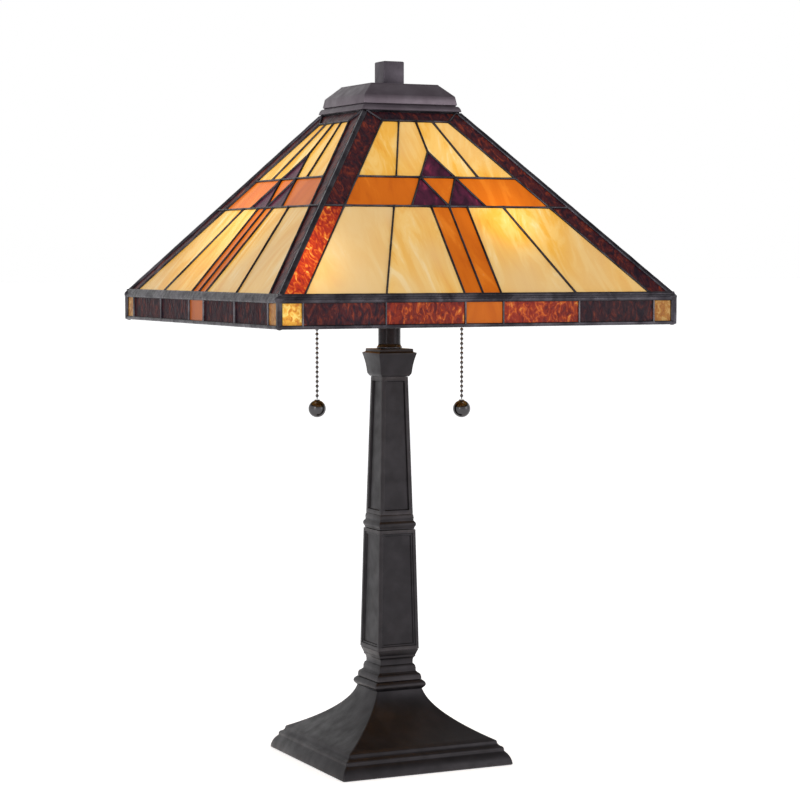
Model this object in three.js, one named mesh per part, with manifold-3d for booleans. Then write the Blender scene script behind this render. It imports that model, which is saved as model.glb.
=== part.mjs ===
// A square stained glass table lamp: cast foot, tapered square column, a two-socket light cluster with
// bead pull chains, and a four-sided leaded glass shade that turns on a stem under a square finial.
// Millimetres, +Z up. The origin is the centre of the underside, and the front of the lamp faces -Y.
import * as THREE from "three";
import { mergeVertices } from "three/addons/utils/BufferGeometryUtils.js";
import Module from "manifold-3d";

const wasm = await Module();
wasm.setup();

// ---------------------------------------------------------------- driving dimensions
const GAP = 0.3; // between pieces that touch
const ROUND = 20; // sides of a turned piece

// Base and column: heights of the joints between pieces, and half widths of the square pieces.
const FELT_HALF = 72;
const FELT_TOP = 1.5;
const FOOT_HALF = 79.9;
const FOOT_INSIDE = 73.5; // half width of the hollow at the underside, around the felt
const FOOT_TOP = 69.3;
const FOOT_WALL = 5;
const OUTLET_Z = 9.4;
const BALLAST_LOW = 14;
const BALLAST_HIGH = 34;
const COLLAR_TOP = 96;
const LOWER_HALF = 19.3;
const LOWER_TOP_HALF = 17.1;
const LOWER_TOP = 200;
const BAND_TOP = 213;
const UPPER_HALF = 15.4;
const UPPER_TOP_HALF = 12.2;
const UPPER_TOP = 332;
const CAPITAL_TOP = 355.8;
const BORE_HALF = 5.4; // square bore for the threaded pipe
const PANEL_BORDER = 4.2; // plain margin beside a recessed panel
const PANEL_END = 3.8; // plain margin above and below it
const PANEL_DEPTH = 1.4;

// Threaded pipe, neck and stem.
const PIPE_R = 4.85;
const PIPE_BORE_R = 3.3;
const PIPE_LOW = 4.5;
const PIPE_TOP = 402;
const NECK_R = 9.7;
const NECK_FLARE_R = 10.8;
const NECK_WALL = 1.7;
const NECK_TOP = 392;
const ROD_R = 3.175;
const ROD_CLEARANCE = 0.4;
const ROD_TOP = 592;

// Light cluster. Distances along a socket are measured from the stem.
const CLUSTER_Z = 405; // height where the two socket axes meet
const CLUSTER_TOP = 416;
const CLUSTER_TURN = THREE.MathUtils.degToRad(-25.3); // plan angle of the right-hand socket
const SOCKET_RISE = THREE.MathUtils.degToRad(20);
const SOCKET_R = 17.5;
const GUIDE_AT = 57;
const GUIDE_LENGTH = 8.5;
const GLOBE_R = 24;
const GLOBE_AT = 106;
const BULB_NECK_R = 12.8;
const BULB_NECK_AT = 70.3;
const BULB_WALL = 0.8;

// Pull chains.
const BEAD_R = 1.45;
const BEAD_PITCH = 4.1;
const LINK_R = 0.45;
const CHAIN_TOP = 401; // height of the uppermost bead
const CHAIN_OUT = 62.5; // plan distance of a chain from the stem
const BALL_R = 7.55;
const BALL_Z = 303.7;
const BALL_COLLAR_TOP = 311.6;

// Shade: outer half widths and heights.
const EAVE_HALF = 177.7;
const EAVE_Z = 403;
const SHADE_TOP_HALF = 43.5;
const SHADE_TOP_Z = 558.4;
const RIM_Z = 379;
const SLOPE_RUN = EAVE_HALF - SHADE_TOP_HALF;
const SLOPE_RISE = SHADE_TOP_Z - EAVE_Z;
const SLOPE_ANGLE = Math.atan2(SLOPE_RISE, SLOPE_RUN);
const CAME_DEPTH = 1.2;
const CAME_HALF = 0.9;
const GLASS_DEPTH = 3;
const HIP_SIDE = 5.4; // plan width of the square hip came
const SIDE_MARGIN = HIP_SIDE + GAP; // from a hip to the edge of a panel beside it, in plan
const PANE_EDGE = 1.2; // from the edge of the metal lines in to the edge of the pane behind them
const SKIRT_TOP_GAP = 1.3; // from the top of a skirt's metal lines up to the eave
const SLOPE_LOW = GAP; // ends of a sloping panel, measured up the slope from the eave
const SLOPE_HIGH = 204;
const SPIDER_LOW = 553;
const SPIDER_HIGH = 557;
const SPIDER_HALF = 38;
const SEAT_R = 9;
const CAP_LOW = 557.4; // underside of the cap's lip, which hangs round the top of the shade
const CAP_LIP_HALF = 45;
const CAP_TOP = 581;
const FINIAL_HALF = 9.6;
const FINIAL_TOP = 601.6;
const FINIAL_BEVEL = 0.5;
const INSERT_R = 5;
const INSERT_TOP = 594;

// Pattern of the glass on a slope: distances up the slope from the eave, and out from its middle.
const BORDER_UP = 192.4;
const BAND_HIGH = 128.6;
const BAND_LOW = 96.4;
const STRIP_WIDTH = 21;
const APEX_UP = 157.2;
const TRIANGLE_OUT = 34;
const MIDDLE_OUT = 16;
const RAY_TOP_OUT = 15.6;
const RAY_BAND_OUT = 37.8;
const FAN_BAND_OUT = 49.7;
const FAN_EAVE_OUT = 86.2;
const STEM_OUT = 16.4;
const BORDER_CAME = 2; // width of the metal beside the hips and under the cap
const EAVE_CAME = 4.4; // width of the metal along the eave

// Pattern of the glass on the skirt: distances out from the middle of each divider.
const SKIRT_DIVIDERS = [17, 86.5, 157, 170];
const SKIRT_CAME = 2.6;

const SIDES = ["front", "right", "back", "left"];
const CORNERS = ["front_right", "back_right", "back_left", "front_left"];
const ARMS = [
  { side: "right", turn: CLUSTER_TURN },
  { side: "left", turn: CLUSTER_TURN + Math.PI },
];

// ---------------------------------------------------------------- materials
const finish = (color, roughness, metalness) => () =>
  new THREE.MeshStandardMaterial({ color, roughness, metalness });
const bronze = finish(0x37322f, 0.45, 0.7);
const capBronze = finish(0x4d4248, 0.5, 0.7);
const came = finish(0x45434a, 0.4, 0.8);
const amberGlass = finish(0xeab763, 0.3, 0);
const redGlass = finish(0x9c3417, 0.3, 0);
const felt = finish(0x1f2a22, 0.95, 0);
const iron = finish(0x3a3a3c, 0.7, 0.6);
const steel = finish(0x9a9a98, 0.4, 0.9);
const brass = finish(0xb08d4a, 0.35, 0.9);
const phenolic = finish(0x1b1a19, 0.5, 0);
const nickel = finish(0x5a5654, 0.2, 0.9);
const bulbWhite = finish(0xfff1d0, 0.4, 0);

// ---------------------------------------------------------------- shape helpers
function toSolid(geometry) {
  const plain = new THREE.BufferGeometry();
  plain.setAttribute("position", geometry.getAttribute("position"));
  plain.setIndex(geometry.index);
  const merged = mergeVertices(plain, 1e-4);
  return new wasm.Manifold(
    new wasm.Mesh({
      numProp: 3,
      vertProperties: merged.attributes.position.array,
      triVerts: new Uint32Array(merged.index.array),
    }),
  );
}

function toGeometry(solid) {
  const mesh = solid.getMesh();
  return new THREE.BufferGeometry()
    .setAttribute("position", new THREE.BufferAttribute(mesh.vertProperties, 3))
    .setIndex(new THREE.BufferAttribute(mesh.triVerts, 1));
}

const cut = (geometry, ...cutters) =>
  toGeometry(cutters.reduce((solid, next) => solid.subtract(toSolid(next)), toSolid(geometry)));

const join = (geometry, ...others) =>
  toGeometry(others.reduce((solid, next) => solid.add(toSolid(next)), toSolid(geometry)));

const points = (pairs) => pairs.map(([across, up]) => new THREE.Vector2(across, up));

const loop = (outline) => [...outline, outline[0].clone()];

// A moulding that is square in plan, from an outline of half widths and heights.
function squareTurned(outline) {
  const corners = outline.map((p) => new THREE.Vector2(p.x * Math.SQRT2, p.y));
  return new THREE.LatheGeometry(corners, 4, Math.PI / 4).rotateX(Math.PI / 2);
}

// A piece turned about Z, from an outline of radii and heights.
const turned = (outline, sides = ROUND) =>
  new THREE.LatheGeometry(outline, sides).rotateX(Math.PI / 2);

const ring = (inner, outer, low, high) =>
  turned(loop(points([[inner, low], [outer, low], [outer, high], [inner, high]])));

const rod = (radius, low, high) =>
  turned(points([[0, low], [radius, low], [radius, high], [0, high]]));

const shapeOf = (corners) => new THREE.Shape(points(corners));

const extrudeUp = (shape, low, high) =>
  new THREE.ExtrudeGeometry(shape, {
    depth: high - low,
    bevelEnabled: false,
  }).translate(0, 0, low);

const square = (half) => shapeOf([[-half, -half], [half, -half], [half, half], [-half, half]]);

// Moves each edge of a convex counter-clockwise polygon inwards by a distance.
function inset(corners, distance) {
  const edges = corners.map(([x, y], i) => {
    const [nextX, nextY] = corners[(i + 1) % corners.length];
    const length = Math.hypot(nextX - x, nextY - y);
    const [alongX, alongY] = [(nextX - x) / length, (nextY - y) / length];
    return { x: x - alongY * distance, y: y + alongX * distance, alongX, alongY };
  });
  return edges.map((edge, i) => {
    const before = edges[(i + edges.length - 1) % edges.length];
    const cross = before.alongX * edge.alongY - before.alongY * edge.alongX;
    const [gapX, gapY] = [edge.x - before.x, edge.y - before.y];
    const reach = (gapX * edge.alongY - gapY * edge.alongX) / cross;
    return [before.x + before.alongX * reach, before.y + before.alongY * reach];
  });
}

const mirrored = (corners) => corners.map(([x, y]) => [-x, y]).reverse();

const lamp = new THREE.Group();

function addPart(name, geometry, material, parent = lamp) {
  const mesh = new THREE.Mesh(geometry, material());
  mesh.name = name;
  parent.add(mesh);
}

// ---------------------------------------------------------------- foot
// The concave flare, from its broad foot to the bead; the inside and the ballast keep a distance from it.
function flare(distance) {
  const [low, middle, high] = points([[69.2, 20.4], [27.9, 40.7], [21.7, 61]]).map((p) =>
    p.subScalar(distance),
  );
  return new THREE.QuadraticBezierCurve(low, middle, high).getPoints(8);
}

function footGeometry() {
  const rim = new THREE.Path().moveTo(FOOT_HALF, GAP);
  rim.quadraticCurveTo(79.2, 7.2, 74.6, 11.4);
  const bead = new THREE.Path().moveTo(21.9, 62);
  bead.quadraticCurveTo(26.2, 65.4, 21.8, FOOT_TOP - GAP);
  const step = points([[73.6, 15.2], [70.4, 18]]);
  const outside = [...rim.getPoints(4), ...step, ...flare(0), ...bead.getPoints(4)];
  const bore = points([[BORE_HALF, FOOT_TOP - GAP], [BORE_HALF, 61]]);
  const inside = [...flare(FOOT_WALL).reverse(), ...points([[70, 9], [FOOT_INSIDE, 4], [FOOT_INSIDE, GAP]])];
  const outlet = rod(3.9, 60, 90).rotateX(-Math.PI / 2).translate(0, 0, OUTLET_Z);
  return cut(squareTurned(loop([...outside, ...bore, ...inside])), outlet);
}

function ballastGeometry() {
  const side = flare(FOOT_WALL + 1).filter((p) => p.y > BALLAST_LOW && p.y < BALLAST_HIGH);
  const top = side[side.length - 1].y;
  const bore = points([[BORE_HALF, top], [BORE_HALF, BALLAST_LOW]]);
  return squareTurned(loop([...points([[side[0].x, BALLAST_LOW]]), ...side, ...bore]));
}

function nutGeometry(cornerR, boreR, low, high) {
  const hexagon = turned(points([[0, low], [cornerR, low], [cornerR, high], [0, high]]), 6);
  return cut(hexagon, rod(boreR, low - 1, high + 1));
}

function bushingGeometry() {
  const outline = points([[2.4, 69], [3.6, 69], [3.6, 79.6], [4.6, 79.6], [4.6, 80.6], [2.4, 80.6]]);
  return turned(loop(outline)).rotateX(-Math.PI / 2).translate(0, 0, OUTLET_Z);
}

addPart("felt_pad", extrudeUp(square(FELT_HALF), 0, FELT_TOP), felt);
addPart("base_foot", footGeometry(), bronze);
addPart("base_ballast", ballastGeometry(), iron);
addPart("base_washer", ring(PIPE_R + GAP, 15, 10.7, BALLAST_LOW - GAP), steel);
addPart("base_nut", nutGeometry(9.8, PIPE_R + GAP, 5.4, 10.4), steel);
addPart("cord_bushing", bushingGeometry(), phenolic);

// ---------------------------------------------------------------- column
// A hollow moulding: its outline from the bottom up, closed by a bored top and a straight inside.
function hollowMoulding(outline, insideHalf, topThickness) {
  const low = outline[0].y;
  const high = outline[outline.length - 1].y;
  const inside = points([
    [BORE_HALF, high],
    [BORE_HALF, high - topThickness],
    [insideHalf, high - topThickness],
    [insideHalf, low],
  ]);
  return squareTurned(loop([...outline, ...inside]));
}

// A tapered square shaft with a recessed panel in each side.
function panelledShaft(low, high, lowHalf, highHalf, insideHalf) {
  const angle = Math.atan2(high - low, lowHalf - highHalf);
  const narrowing = (lowHalf - highHalf) / (high - low);
  const bottom = lowHalf - PANEL_BORDER;
  const height = high - low - 2 * PANEL_END;
  const top = bottom - narrowing * height;
  const panel = shapeOf([[-bottom, 0], [bottom, 0], [top, height], [-top, height]]);
  const recesses = SIDES.map((_, i) =>
    extrudeUp(panel, -PANEL_DEPTH, PANEL_DEPTH)
      .translate(0, PANEL_END, 0)
      .rotateX(angle)
      .translate(0, -lowHalf, low)
      .rotateZ((i * Math.PI) / 2),
  );
  return cut(hollowMoulding(points([[lowHalf, low], [highHalf, high]]), insideHalf, 4), ...recesses);
}

function collarGeometry() {
  const side = new THREE.Path().moveTo(21.1, FOOT_TOP);
  side.lineTo(20.9, 72.4).quadraticCurveTo(20.4, 74.4, 18.4, 75.2);
  side.lineTo(17.6, 76.4).lineTo(17.4, 79).quadraticCurveTo(16.8, 81.6, 15.4, 82.8);
  side.lineTo(15.4, 85.4).quadraticCurveTo(15.7, 87.6, 16.9, 88.8);
  side.lineTo(17.1, 90.8).lineTo(18.9, COLLAR_TOP - GAP);
  return hollowMoulding(side.getPoints(3), 8, 4);
}

function bandGeometry() {
  const side = new THREE.Path().moveTo(16.3, LOWER_TOP);
  side.lineTo(16.3, 201.4).lineTo(17, 202.6).quadraticCurveTo(17.6, 204.2, 16.8, 206);
  side.lineTo(16, 207).lineTo(15.9, 208.6).lineTo(15.6, BAND_TOP - GAP);
  return hollowMoulding(side.getPoints(3), 10, 3);
}

function capitalGeometry() {
  const side = points([
    [13.2, UPPER_TOP], [14.6, 334.2], [15, 336], [17.9, 351.4], [17.9, 352.4],
    [16, 353], [15.7, 353.6], [15.7, CAPITAL_TOP],
  ]);
  return hollowMoulding(side, 9, 4);
}

addPart("base_collar", collarGeometry(), bronze);
addPart(
  "lower_column",
  panelledShaft(COLLAR_TOP, LOWER_TOP - GAP, LOWER_HALF, LOWER_TOP_HALF, 12),
  bronze,
);
addPart("column_band", bandGeometry(), bronze);
addPart(
  "upper_column",
  panelledShaft(BAND_TOP, UPPER_TOP - GAP, UPPER_HALF, UPPER_TOP_HALF, 8),
  bronze,
);
addPart("capital", capitalGeometry(), bronze);

// ---------------------------------------------------------------- pipe, neck and stem
function neckGeometry() {
  const low = CAPITAL_TOP + GAP;
  const inner = NECK_R - NECK_WALL;
  return turned(
    loop(
      points([
        [inner, low], [NECK_FLARE_R, low], [NECK_FLARE_R, low + 1.2],
        [NECK_R, low + 3.4], [NECK_R, NECK_TOP], [inner, NECK_TOP],
      ]),
    ),
  );
}

function stemGeometry() {
  const shoulder = CLUSTER_TOP + GAP;
  return turned(
    points([
      [0, PIPE_TOP + 1], [PIPE_R, PIPE_TOP + 1], [PIPE_R, shoulder], [8, shoulder],
      [8, shoulder + 4], [ROD_R, shoulder + 5], [ROD_R, ROD_TOP], [0, ROD_TOP],
    ]),
  );
}

addPart("threaded_pipe", ring(PIPE_BORE_R, PIPE_R, PIPE_LOW, PIPE_TOP), steel);
addPart("neck_tube", neckGeometry(), bronze);
addPart("stem_rod", stemGeometry(), steel);
addPart("seat_nut", ring(ROD_R + ROD_CLEARANCE, SEAT_R, 547.6, SPIDER_LOW - GAP), brass);

// ---------------------------------------------------------------- light cluster
// A group whose X runs out along one socket, from the point where the two socket axes cross.
function socketFrame(turn) {
  const plan = new THREE.Group();
  plan.position.z = CLUSTER_Z;
  plan.rotation.z = turn;
  const frame = new THREE.Group();
  frame.rotation.y = -SOCKET_RISE;
  plan.add(frame);
  lamp.add(plan);
  return frame;
}

const alongSocket = (geometry) => geometry.rotateY(Math.PI / 2);

function clusterGeometry() {
  const bore = PIPE_R + GAP;
  const low = NECK_TOP + GAP;
  const body = turned(
    loop(
      points([
        [bore, low], [12, low], [15, low + 4],
        [15, CLUSTER_TOP - 3], [12, CLUSTER_TOP], [bore, CLUSTER_TOP],
      ]),
    ),
  );
  const arms = ARMS.map(({ turn }) =>
    alongSocket(rod(PIPE_R, 8, 27))
      .rotateY(-SOCKET_RISE)
      .rotateZ(turn)
      .translate(0, 0, CLUSTER_Z),
  );
  return join(body, ...arms);
}

function socketCapGeometry() {
  const outline = points([
    [PIPE_R + GAP, 20.5], [9, 20.5], [14, 22.5], [17.2, 27], [SOCKET_R, 33.7],
    [16.2, 33.7], [15.9, 27.8], [13, 24.3], [8.6, 22.5], [PIPE_R + GAP, 22.5],
  ]);
  return alongSocket(turned(loop(outline)));
}

function socketShellGeometry() {
  const outline = points([
    [16.4, 34], [SOCKET_R, 34], [SOCKET_R, 64], [18.4, 65], [18.4, 66.5], [SOCKET_R, 67.2], [16.4, 67.2],
  ]);
  return alongSocket(turned(loop(outline)));
}

function socketInteriorGeometry() {
  const outline = points([
    [0, 35], [16, 35], [16, 47], [14.9, 47], [14.9, 64], [13.9, 64], [13.9, 48.2], [0, 48.2],
  ]);
  return alongSocket(turned(outline));
}

function chainGuideGeometry() {
  const outline = points([
    [1.95, 0], [2.7, 0], [2.7, 4], [3.2, 6], [4.5, GUIDE_LENGTH], [3.6, GUIDE_LENGTH], [2.4, 6], [1.95, 4],
  ]);
  return turned(loop(outline), 12)
    .rotateX(Math.PI)
    .translate(GUIDE_AT, 0, -SOCKET_R - GAP);
}

function bulbBaseGeometry() {
  const outline = points([[0, 48.6], [4.5, 48.6], [12, 51.5], [13.1, 53], [13.1, 70], [0, 70]]);
  return alongSocket(turned(outline));
}

// The bulb's envelope, or the hollow inside it where a wall is left off.
function bulbOutline(wall, start) {
  const side = new THREE.Path().moveTo(BULB_NECK_R - wall, start);
  side.lineTo(BULB_NECK_R - wall, BULB_NECK_AT + 2);
  side.bezierCurveTo(BULB_NECK_R - wall, 86, GLOBE_R - wall, 90, GLOBE_R - wall, GLOBE_AT);
  side.absarc(0, GLOBE_AT, GLOBE_R - wall, 0, Math.PI / 2);
  const outline = side.getPoints(3);
  outline[outline.length - 1].x = 0;
  return [new THREE.Vector2(0, start), ...outline];
}

const bulbGlassGeometry = () =>
  alongSocket(
    cut(turned(bulbOutline(0, BULB_NECK_AT)), turned(bulbOutline(BULB_WALL, BULB_NECK_AT - 5))),
  );

addPart("cluster_body", clusterGeometry(), bronze);
for (const { side, turn } of ARMS) {
  const frame = socketFrame(turn);
  addPart(`socket_cap_${side}`, socketCapGeometry(), brass, frame);
  addPart(`socket_shell_${side}`, socketShellGeometry(), brass, frame);
  addPart(`socket_interior_${side}`, socketInteriorGeometry(), phenolic, frame);
  addPart(`chain_guide_${side}`, chainGuideGeometry(), brass, frame);
  addPart(`bulb_base_${side}`, bulbBaseGeometry(), brass, frame);
  addPart(`bulb_glass_${side}`, bulbGlassGeometry(), bulbWhite, frame);
}

// ---------------------------------------------------------------- pull chains
// A run of beads on a wire, from the first bead down to the last, with half a link at each end.
function chainGeometry(first, last, topEnd, lowEnd) {
  const outline = [new THREE.Vector2(0, lowEnd), new THREE.Vector2(LINK_R, lowEnd)];
  const waist = Math.asin(LINK_R / BEAD_R);
  for (let bead = last; bead >= first; bead -= 1) {
    const arc = new THREE.Path();
    const middle = CHAIN_TOP - bead * BEAD_PITCH;
    arc.absarc(0, middle, BEAD_R, waist - Math.PI / 2, Math.PI / 2 - waist);
    outline.push(...arc.getPoints(1));
  }
  outline.push(new THREE.Vector2(LINK_R, topEnd), new THREE.Vector2(0, topEnd));
  return turned(outline, 6);
}

function ballGeometry() {
  const collarR = 2.4;
  const start = Math.asin(collarR / BALL_R);
  const arc = new THREE.Path();
  arc.absarc(0, BALL_Z, BALL_R, -Math.PI / 2, Math.PI / 2 - start);
  const outline = arc.getPoints(5);
  outline[0].x = 0;
  return turned([...outline, ...points([[collarR, BALL_COLLAR_TOP], [0, BALL_COLLAR_TOP]])], 16);
}

// Beads of the run that slides, the run that swings in and out, and the run that swings sideways.
const CHAIN_RUNS = [
  { name: "chain_upper", first: 0, last: 1 },
  { name: "chain_middle", first: 2, last: 3 },
  { name: "chain_lower", first: 4, last: 21 },
];
const linkMiddle = (bead) => CHAIN_TOP - (bead - 0.5) * BEAD_PITCH;

for (const { side, turn } of ARMS) {
  const plan = new THREE.Group();
  plan.rotation.z = turn;
  const hang = new THREE.Group();
  hang.position.x = CHAIN_OUT;
  plan.add(hang);
  lamp.add(plan);
  for (const { name, first, last } of CHAIN_RUNS) {
    const top = linkMiddle(first) - GAP / 2;
    const low = name === "chain_lower" ? BALL_COLLAR_TOP + GAP : linkMiddle(last + 1) + GAP / 2;
    addPart(`${name}_${side}`, chainGeometry(first, last, top, low), nickel, hang);
  }
  addPart(`chain_ball_${side}`, ballGeometry(), nickel, hang);
}

// ---------------------------------------------------------------- shade
// Half the width of a slope between its hips, and the lines where the border and the field end.
const slopeHalf = (up) => EAVE_HALF - (SLOPE_RUN / Math.hypot(SLOPE_RUN, SLOPE_RISE)) * up;
const borderLine = (up) => slopeHalf(up) - SIDE_MARGIN - BORDER_CAME + CAME_HALF;
const fieldLine = (up) => slopeHalf(up) - STRIP_WIDTH;

// The pieces of glass on a slope, each as [out from the middle, up from the eave] corners.
function slopePieces() {
  const eave = SLOPE_LOW + EAVE_CAME - CAME_HALF;
  const ridge = SLOPE_HIGH - BORDER_CAME + CAME_HALF;
  const fanEave = FAN_EAVE_OUT - ((FAN_EAVE_OUT - FAN_BAND_OUT) * eave) / BAND_LOW;
  const right = [
    [
      [0, APEX_UP], [MIDDLE_OUT, BAND_HIGH], [RAY_BAND_OUT, BAND_HIGH],
      [RAY_TOP_OUT, BORDER_UP], [0, BORDER_UP],
    ],
    [
      [RAY_BAND_OUT, BAND_HIGH], [fieldLine(BAND_HIGH), BAND_HIGH],
      [fieldLine(BORDER_UP), BORDER_UP], [RAY_TOP_OUT, BORDER_UP],
    ],
    [
      [TRIANGLE_OUT, BAND_LOW], [fieldLine(BAND_LOW), BAND_LOW],
      [fieldLine(BAND_HIGH), BAND_HIGH], [MIDDLE_OUT, BAND_HIGH],
    ],
    [[0, BAND_LOW], [TRIANGLE_OUT, BAND_LOW], [MIDDLE_OUT, BAND_HIGH]],
    [[0, eave], [STEM_OUT, eave], [STEM_OUT, BAND_LOW], [0, BAND_LOW]],
    [[STEM_OUT, eave], [fanEave, eave], [FAN_BAND_OUT, BAND_LOW], [STEM_OUT, BAND_LOW]],
    [[fanEave, eave], [fieldLine(eave), eave], [fieldLine(BAND_LOW), BAND_LOW], [FAN_BAND_OUT, BAND_LOW]],
    [
      [fieldLine(eave), eave], [borderLine(eave), eave],
      [borderLine(BAND_LOW), BAND_LOW], [fieldLine(BAND_LOW), BAND_LOW],
    ],
    [
      [fieldLine(BAND_LOW), BAND_LOW], [borderLine(BAND_LOW), BAND_LOW],
      [borderLine(ridge), ridge], [fieldLine(BORDER_UP), BORDER_UP],
    ],
  ];
  const middle = [
    [[-MIDDLE_OUT, BAND_HIGH], [MIDDLE_OUT, BAND_HIGH], [0, APEX_UP]],
    [[-MIDDLE_OUT, BAND_HIGH], [0, BAND_LOW], [MIDDLE_OUT, BAND_HIGH]],
    [
      [-fieldLine(BORDER_UP), BORDER_UP], [fieldLine(BORDER_UP), BORDER_UP],
      [borderLine(ridge), ridge], [-borderLine(ridge), ridge],
    ],
  ];
  return [...middle, ...right, ...right.map(mirrored)];
}

function skirtPieces(low, high) {
  const spans = SKIRT_DIVIDERS.slice(1).map((outer, i) => [SKIRT_DIVIDERS[i], outer]);
  const right = spans.map(([near, far]) => [[near, low], [far, low], [far, high], [near, high]]);
  const [half] = SKIRT_DIVIDERS;
  return [[[-half, low], [half, low], [half, high], [-half, high]], ...right, ...right.map(mirrored)];
}

// A thin plate with one window for each piece of glass.
function latticeGeometry(outline, pieces) {
  const windows = pieces.map((piece) =>
    extrudeUp(shapeOf(inset(piece, CAME_HALF)), -2 * CAME_DEPTH, CAME_DEPTH),
  );
  return cut(extrudeUp(shapeOf(outline), -CAME_DEPTH, 0), ...windows);
}

const trapezoid = (lowHalf, highHalf, low, high) => [
  [-lowHalf, low], [lowHalf, low], [highHalf, high], [-highHalf, high],
];

const slopeOutline = (low, high) =>
  trapezoid(slopeHalf(low) - SIDE_MARGIN, slopeHalf(high) - SIDE_MARGIN, low, high);

// A came along one hip and down the corner of the skirt.
function hipGeometry() {
  const lean = SLOPE_RUN / SLOPE_RISE;
  const side = shapeOf([
    [EAVE_HALF - HIP_SIDE, -EAVE_HALF], [EAVE_HALF, -EAVE_HALF],
    [EAVE_HALF, HIP_SIDE - EAVE_HALF], [EAVE_HALF - HIP_SIDE, HIP_SIDE - EAVE_HALF],
  ]);
  const hip = extrudeUp(side, 0, SHADE_TOP_Z - 0.9 - EAVE_Z)
    .applyMatrix4(new THREE.Matrix4().makeShear(0, 0, 0, 0, -lean, lean))
    .translate(0, 0, EAVE_Z);
  return join(extrudeUp(side, RIM_Z, EAVE_Z + 0.2), hip);
}

function spiderGeometry() {
  const [near, far] = [6, SPIDER_HALF - 5];
  const window = shapeOf([[near, near], [far, near], [far, far], [near, far]]);
  const windows = CORNERS.map((_, i) =>
    extrudeUp(window, SPIDER_LOW - 1, SPIDER_HIGH + 1).rotateZ((i * Math.PI) / 2),
  );
  const bore = rod(ROD_R + ROD_CLEARANCE, SPIDER_LOW - 1, SPIDER_HIGH + 1);
  return cut(extrudeUp(square(SPIDER_HALF), SPIDER_LOW, SPIDER_HIGH), bore, ...windows);
}

function vaseCapGeometry() {
  const boreHalf = ROD_R + ROD_CLEARANCE;
  const seat = SHADE_TOP_Z + GAP;
  const outline = points([
    [46.3, CAP_LOW], [46, 558.6], [44.4, 562], [43, 562.4], [43.4, 563.1], [42.2, 570.8], [32.2, 580.4],
    [31.6, CAP_TOP], [boreHalf, CAP_TOP], [boreHalf, 578.6], [30.6, 578.6], [40.2, 569.6], [41.4, seat],
    [CAP_LIP_HALF, seat], [CAP_LIP_HALF, CAP_LOW],
  ]);
  return squareTurned(loop(outline));
}

// The metal lines on a slope or a skirt, and the pane behind them.
function addFace(name, side, pieces, outline, pane, glass, parent) {
  const glassFace = -CAME_DEPTH - GAP;
  const paneGeometry = extrudeUp(shapeOf(pane), glassFace - GLASS_DEPTH, glassFace);
  addPart(`${name}_cames_${side}`, latticeGeometry(outline, pieces), came, parent);
  addPart(`${name}_glass_${side}`, paneGeometry, glass, parent);
}

SIDES.forEach((side, i) => {
  const facing = new THREE.Group();
  facing.rotation.z = (i * Math.PI) / 2;
  const slope = new THREE.Group();
  slope.position.set(0, -EAVE_HALF, EAVE_Z);
  slope.rotation.x = SLOPE_ANGLE;
  const skirt = new THREE.Group();
  skirt.position.set(0, -EAVE_HALF, RIM_Z);
  skirt.rotation.x = Math.PI / 2;
  facing.add(slope, skirt);
  lamp.add(facing);

  const slopePane = slopeOutline(SLOPE_LOW + PANE_EDGE, SLOPE_HIGH - PANE_EDGE);
  addFace("slope", side, slopePieces(), slopeOutline(SLOPE_LOW, SLOPE_HIGH), slopePane, amberGlass, slope);

  const half = EAVE_HALF - SIDE_MARGIN;
  const high = EAVE_Z - RIM_Z - SKIRT_TOP_GAP;
  const windows = skirtPieces(SKIRT_CAME - CAME_HALF, high - SKIRT_CAME);
  const skirtPane = trapezoid(half - PANE_EDGE, half - PANE_EDGE, PANE_EDGE, high - 2 * PANE_EDGE);
  addFace("skirt", side, windows, trapezoid(half, half, 0, high), skirtPane, redGlass, skirt);
});

CORNERS.forEach((corner, i) => {
  addPart(`hip_came_${corner}`, hipGeometry().rotateZ((i * Math.PI) / 2), came);
});
addPart("shade_spider", spiderGeometry(), brass);
addPart("vase_cap", vaseCapGeometry(), capBronze);

// ---------------------------------------------------------------- finial
function finialGeometry() {
  const low = CAP_TOP + GAP;
  const outline = points([
    [0, low], [FINIAL_HALF, low], [FINIAL_HALF, FINIAL_TOP - FINIAL_BEVEL],
    [FINIAL_HALF - FINIAL_BEVEL, FINIAL_TOP], [0, FINIAL_TOP],
  ]);
  return cut(squareTurned(outline), rod(INSERT_R + GAP, low - 1, INSERT_TOP + GAP));
}

addPart("finial_insert", ring(ROD_R + ROD_CLEARANCE, INSERT_R, CAP_TOP + 2 * GAP, INSERT_TOP), brass);
addPart("finial_knob", finialGeometry(), bronze);

export default lamp;
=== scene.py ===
import math

import bmesh
import bpy
from mathutils import Matrix, Vector, noise


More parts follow.
